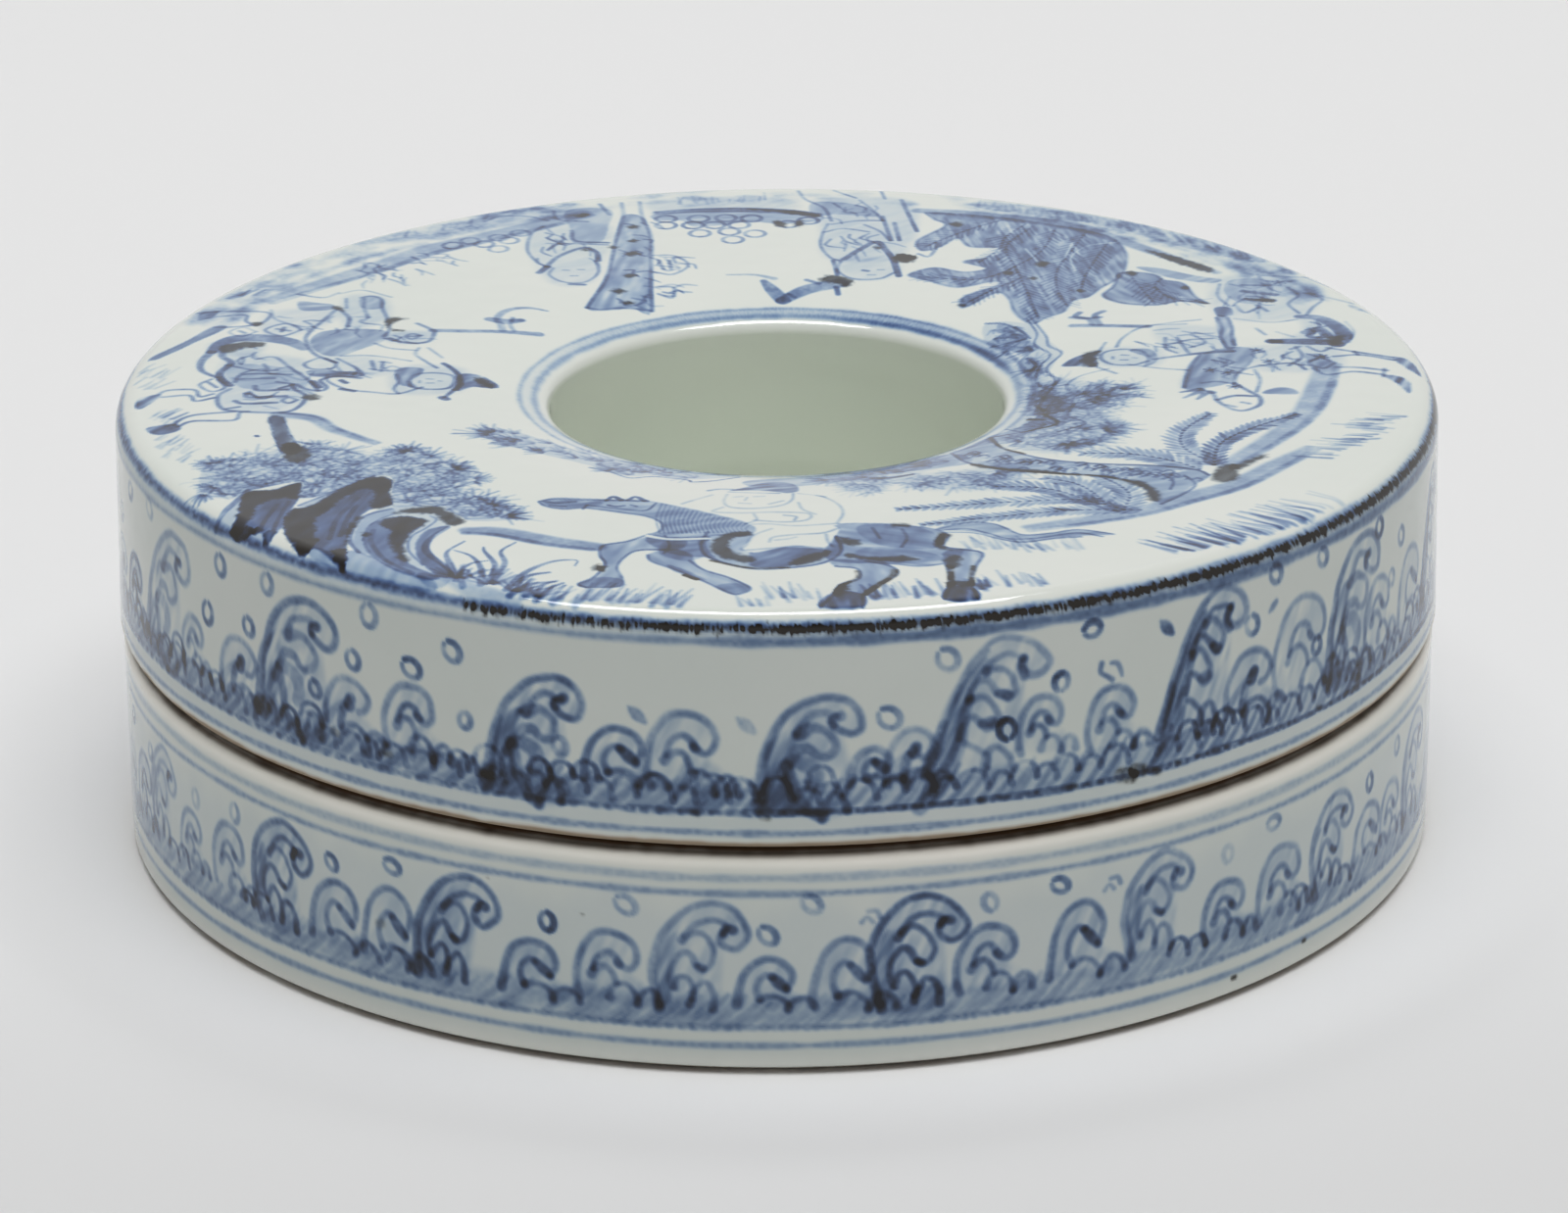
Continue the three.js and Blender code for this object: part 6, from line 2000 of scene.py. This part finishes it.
# %% Shared colour groups
TOP_COBALT = ((0.00, (1.0, 1.0, 1.0)), (0.08, (0.695, 0.785, 0.905)), (0.16, (0.430, 0.560, 0.790)),
              (0.28, (0.195, 0.305, 0.570)), (0.40, (0.098, 0.162, 0.380)), (0.58, (0.048, 0.072, 0.175)),
              (0.90, (0.022, 0.023, 0.036)))
SIDE_COBALT = ((0.00, (1.0, 1.0, 1.0)), (0.10, (0.695, 0.770, 0.885)), (0.20, (0.425, 0.530, 0.730)),
               (0.35, (0.195, 0.285, 0.495)), (0.50, (0.100, 0.150, 0.305)), (0.70, (0.050, 0.068, 0.130)),
               (1.00, (0.022, 0.021, 0.030)))
IRON = (0.017, 0.012, 0.008, 1.0)
DEEPEST = 2.0
BROAD_SCALE = 26.0
BROAD_DETAIL = 2.0
PEEL_SCALE = 120.0
PEEL_DETAIL = 1.0
PATCH_TINTS = ((0.30, (0.95, 0.97, 0.965)), (0.70, (1.0, 1.0, 1.0)))
GLOSS = (0.04, 0.08)


def add_ramp(nodes, steps):
    """A colour ramp with the given places and colours."""
    ramp = nodes.new("ShaderNodeValToRGB")
    marks = ramp.color_ramp.elements
    while len(marks) < len(steps):
        marks.new(0.5)
    for mark, (place, colour) in zip(marks, steps):
        mark.position = place
        mark.color = (*colour, 1.0)
    return ramp


def stored(tree, name):
    """The value that a piece's points carry under a name."""
    return add_node(tree.nodes, "ShaderNodeAttribute", attribute_name=name).outputs["Fac"]


painting = bpy.data.node_groups.new("underglaze_painting", "ShaderNodeTree")
painting.interface.new_socket("Colour", in_out="OUTPUT", socket_type="NodeSocketColor")
painting_out = painting.nodes.new("NodeGroupOutput")
cobalt_scale = add_node(painting.nodes, "ShaderNodeMath", operation="DIVIDE", use_clamp=True)
painting.links.new(stored(painting, "cobalt"), cobalt_scale.inputs[0])
cobalt_scale.inputs[1].default_value = DEEPEST
cobalt_ramps = [add_ramp(painting.nodes, steps) for steps in (TOP_COBALT, SIDE_COBALT)]
for ramp in cobalt_ramps:
    painting.links.new(cobalt_scale.outputs[0], ramp.inputs[0])
shades = [ramp.outputs[0] for ramp in cobalt_ramps]
blue = mixed(painting, "MIX", stored(painting, "side"), *shades)
iron_cover = add_node(painting.nodes, "ShaderNodeClamp")
painting.links.new(stored(painting, "iron"), iron_cover.inputs["Value"])
both = mixed(painting, "MIX", iron_cover.outputs[0], blue, IRON)
painting.links.new(both, painting_out.inputs[0])

skin = bpy.data.node_groups.new("glaze_skin", "ShaderNodeTree")
for socket in ("Tint", "Roughness", "Height"):
    kind = "NodeSocketColor" if socket == "Tint" else "NodeSocketFloat"
    skin.interface.new_socket(socket, in_out="OUTPUT", socket_type=kind)
skin_out = skin.nodes.new("NodeGroupOutput")
skin_place = skin.nodes.new("ShaderNodeTexCoord").outputs["Object"]
broad = add_node(skin.nodes, "ShaderNodeTexNoise", noise_dimensions="3D")
broad.inputs["Scale"].default_value = BROAD_SCALE
broad.inputs["Detail"].default_value = BROAD_DETAIL
skin.links.new(skin_place, broad.inputs["Vector"])
tint_ramp = add_ramp(skin.nodes, PATCH_TINTS)
skin.links.new(broad.outputs[0], tint_ramp.inputs[0])
skin.links.new(tint_ramp.outputs[0], skin_out.inputs["Tint"])
peel = add_node(skin.nodes, "ShaderNodeTexNoise", noise_dimensions="3D")
peel.inputs["Scale"].default_value = PEEL_SCALE
peel.inputs["Detail"].default_value = PEEL_DETAIL
skin.links.new(skin_place, peel.inputs["Vector"])
skin.links.new(peel.outputs[0], skin_out.inputs["Height"])
gloss = ranged(skin, broad.outputs[0], (0.0, 1.0), GLOSS, "LINEAR")
skin.links.new(gloss, skin_out.inputs["Roughness"])
print("groups:", painting.name, "and", skin.name)

# %% The glazed material
CLAY = (0.50, 0.41, 0.30, 1.0)
CLAY_ROUGHNESS = 0.8
GLAZE_SHINE = 0.34
PEEL_STRENGTH = 0.10
PEEL_DEPTH = 0.0012
# Dark brown for the seam: real dirt, and painted shade in the gap between the pieces.
DIRT_AND_SHADE = (0.075, 0.038, 0.015, 1.0)
TOP_GLAZE = (0.680, 0.700, 0.655, 1.0)
# Painted shade: a darker white for the outer walls, which take less of the light from above.
SHADED_SIDE_GLAZE = (0.645, 0.680, 0.643, 1.0)
HOLE_GLAZE = (0.840, 0.890, 0.780, 1.0)
# Painted light: a lighter, warmer white for the base's rim, where the lid would shade it.
CREAM_LIT_GLAZE = (0.930, 0.905, 0.830, 1.0)


def glazed(name):
    """Painted porcelain: glaze over cobalt and iron, matt clay where it was wiped, and soiling with painted
    shade.
    """
    material, tree, shader = principled(name)
    shader.inputs["Specular IOR Level"].default_value = GLAZE_SHINE
    surface = add_node(tree.nodes, "ShaderNodeGroup", node_tree=skin)
    paint = add_node(tree.nodes, "ShaderNodeGroup", node_tree=painting)
    # Painted shade: the outer walls take a darker white than the top.
    thin = mixed(tree, "MIX", stored(tree, "side"), TOP_GLAZE, SHADED_SIDE_GLAZE)
    # Painted light: the base's rim takes a lighter, warmer white.
    warm_and_lit = mixed(tree, "MIX", stored(tree, "cream_and_light"), thin, CREAM_LIT_GLAZE)
    thick = mixed(tree, "MIX", stored(tree, "hole"), warm_and_lit, HOLE_GLAZE)
    white = mixed(tree, "MULTIPLY", 1.0, thick, surface.outputs["Tint"])
    painted = mixed(tree, "MULTIPLY", 1.0, white, paint.outputs["Colour"])
    bare, dirt_and_shade = stored(tree, "bare"), stored(tree, "dirt_and_shade")
    wiped = mixed(tree, "MIX", bare, painted, CLAY)
    # Dirt and painted shade: the seam turns dark brown.
    soiled_and_shaded = mixed(tree, "MIX", dirt_and_shade, wiped, DIRT_AND_SHADE)
    tree.links.new(soiled_and_shaded, shader.inputs["Base Color"])
    rough = add_node(tree.nodes, "ShaderNodeMix", data_type="FLOAT")
    tree.links.new(combined(tree, "MAXIMUM", bare, dirt_and_shade), rough.inputs[0])
    tree.links.new(surface.outputs["Roughness"], rough.inputs[2])
    rough.inputs[3].default_value = CLAY_ROUGHNESS
    tree.links.new(rough.outputs[0], shader.inputs["Roughness"])
    bump = tree.nodes.new("ShaderNodeBump")
    bump.inputs["Strength"].default_value = PEEL_STRENGTH
    bump.inputs["Distance"].default_value = PEEL_DEPTH
    tree.links.new(surface.outputs["Height"], bump.inputs["Height"])
    tree.links.new(bump.outputs[0], shader.inputs["Normal"])
    return material


porcelain = glazed("painted_porcelain")
print("material:", porcelain.name)

# %% [markdown]
# ## Placing the wedges
# The lid's wedges ride with the lid and the base's with the base, so the lid lifts off with its painting.

# %% Lid and base in place
LID_RULES = {"bare": lid_bare, "dirt_and_shade": lid_dirt_and_shade, "side": side, "hole": in_hole}
LID_LIFT = 0.45
BASE_RULES = {"bare": base_bare, "dirt_and_shade": base_dirt_and_shade, "side": side, "hole": in_hole, "cream_and_light": cream_and_light}
pieces = (("lid", lid_painted, lid_plain, lid_layers, LID_RULES, LID_LIFT),
          ("base", base_painted, base_plain, base_layers, BASE_RULES, 0.0))
triangles = 0
for body, painted, plain, layers, rules, lift in pieces:
    for part in range(WEDGES):
        mesh = wedge(f"{body}_wedge_{part + 1}", painted, plain, layers, rules, lift, part)
        mesh.materials.append(porcelain)
        piece = bpy.data.objects.new(mesh.name, mesh)
        bpy.context.scene.collection.objects.link(piece)
        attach(piece, body)
        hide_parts(body)
        triangles += len(mesh.loops) - 2 * len(mesh.polygons)
print("two pieces in", 2 * WEDGES, "wedges,", triangles, "triangles")
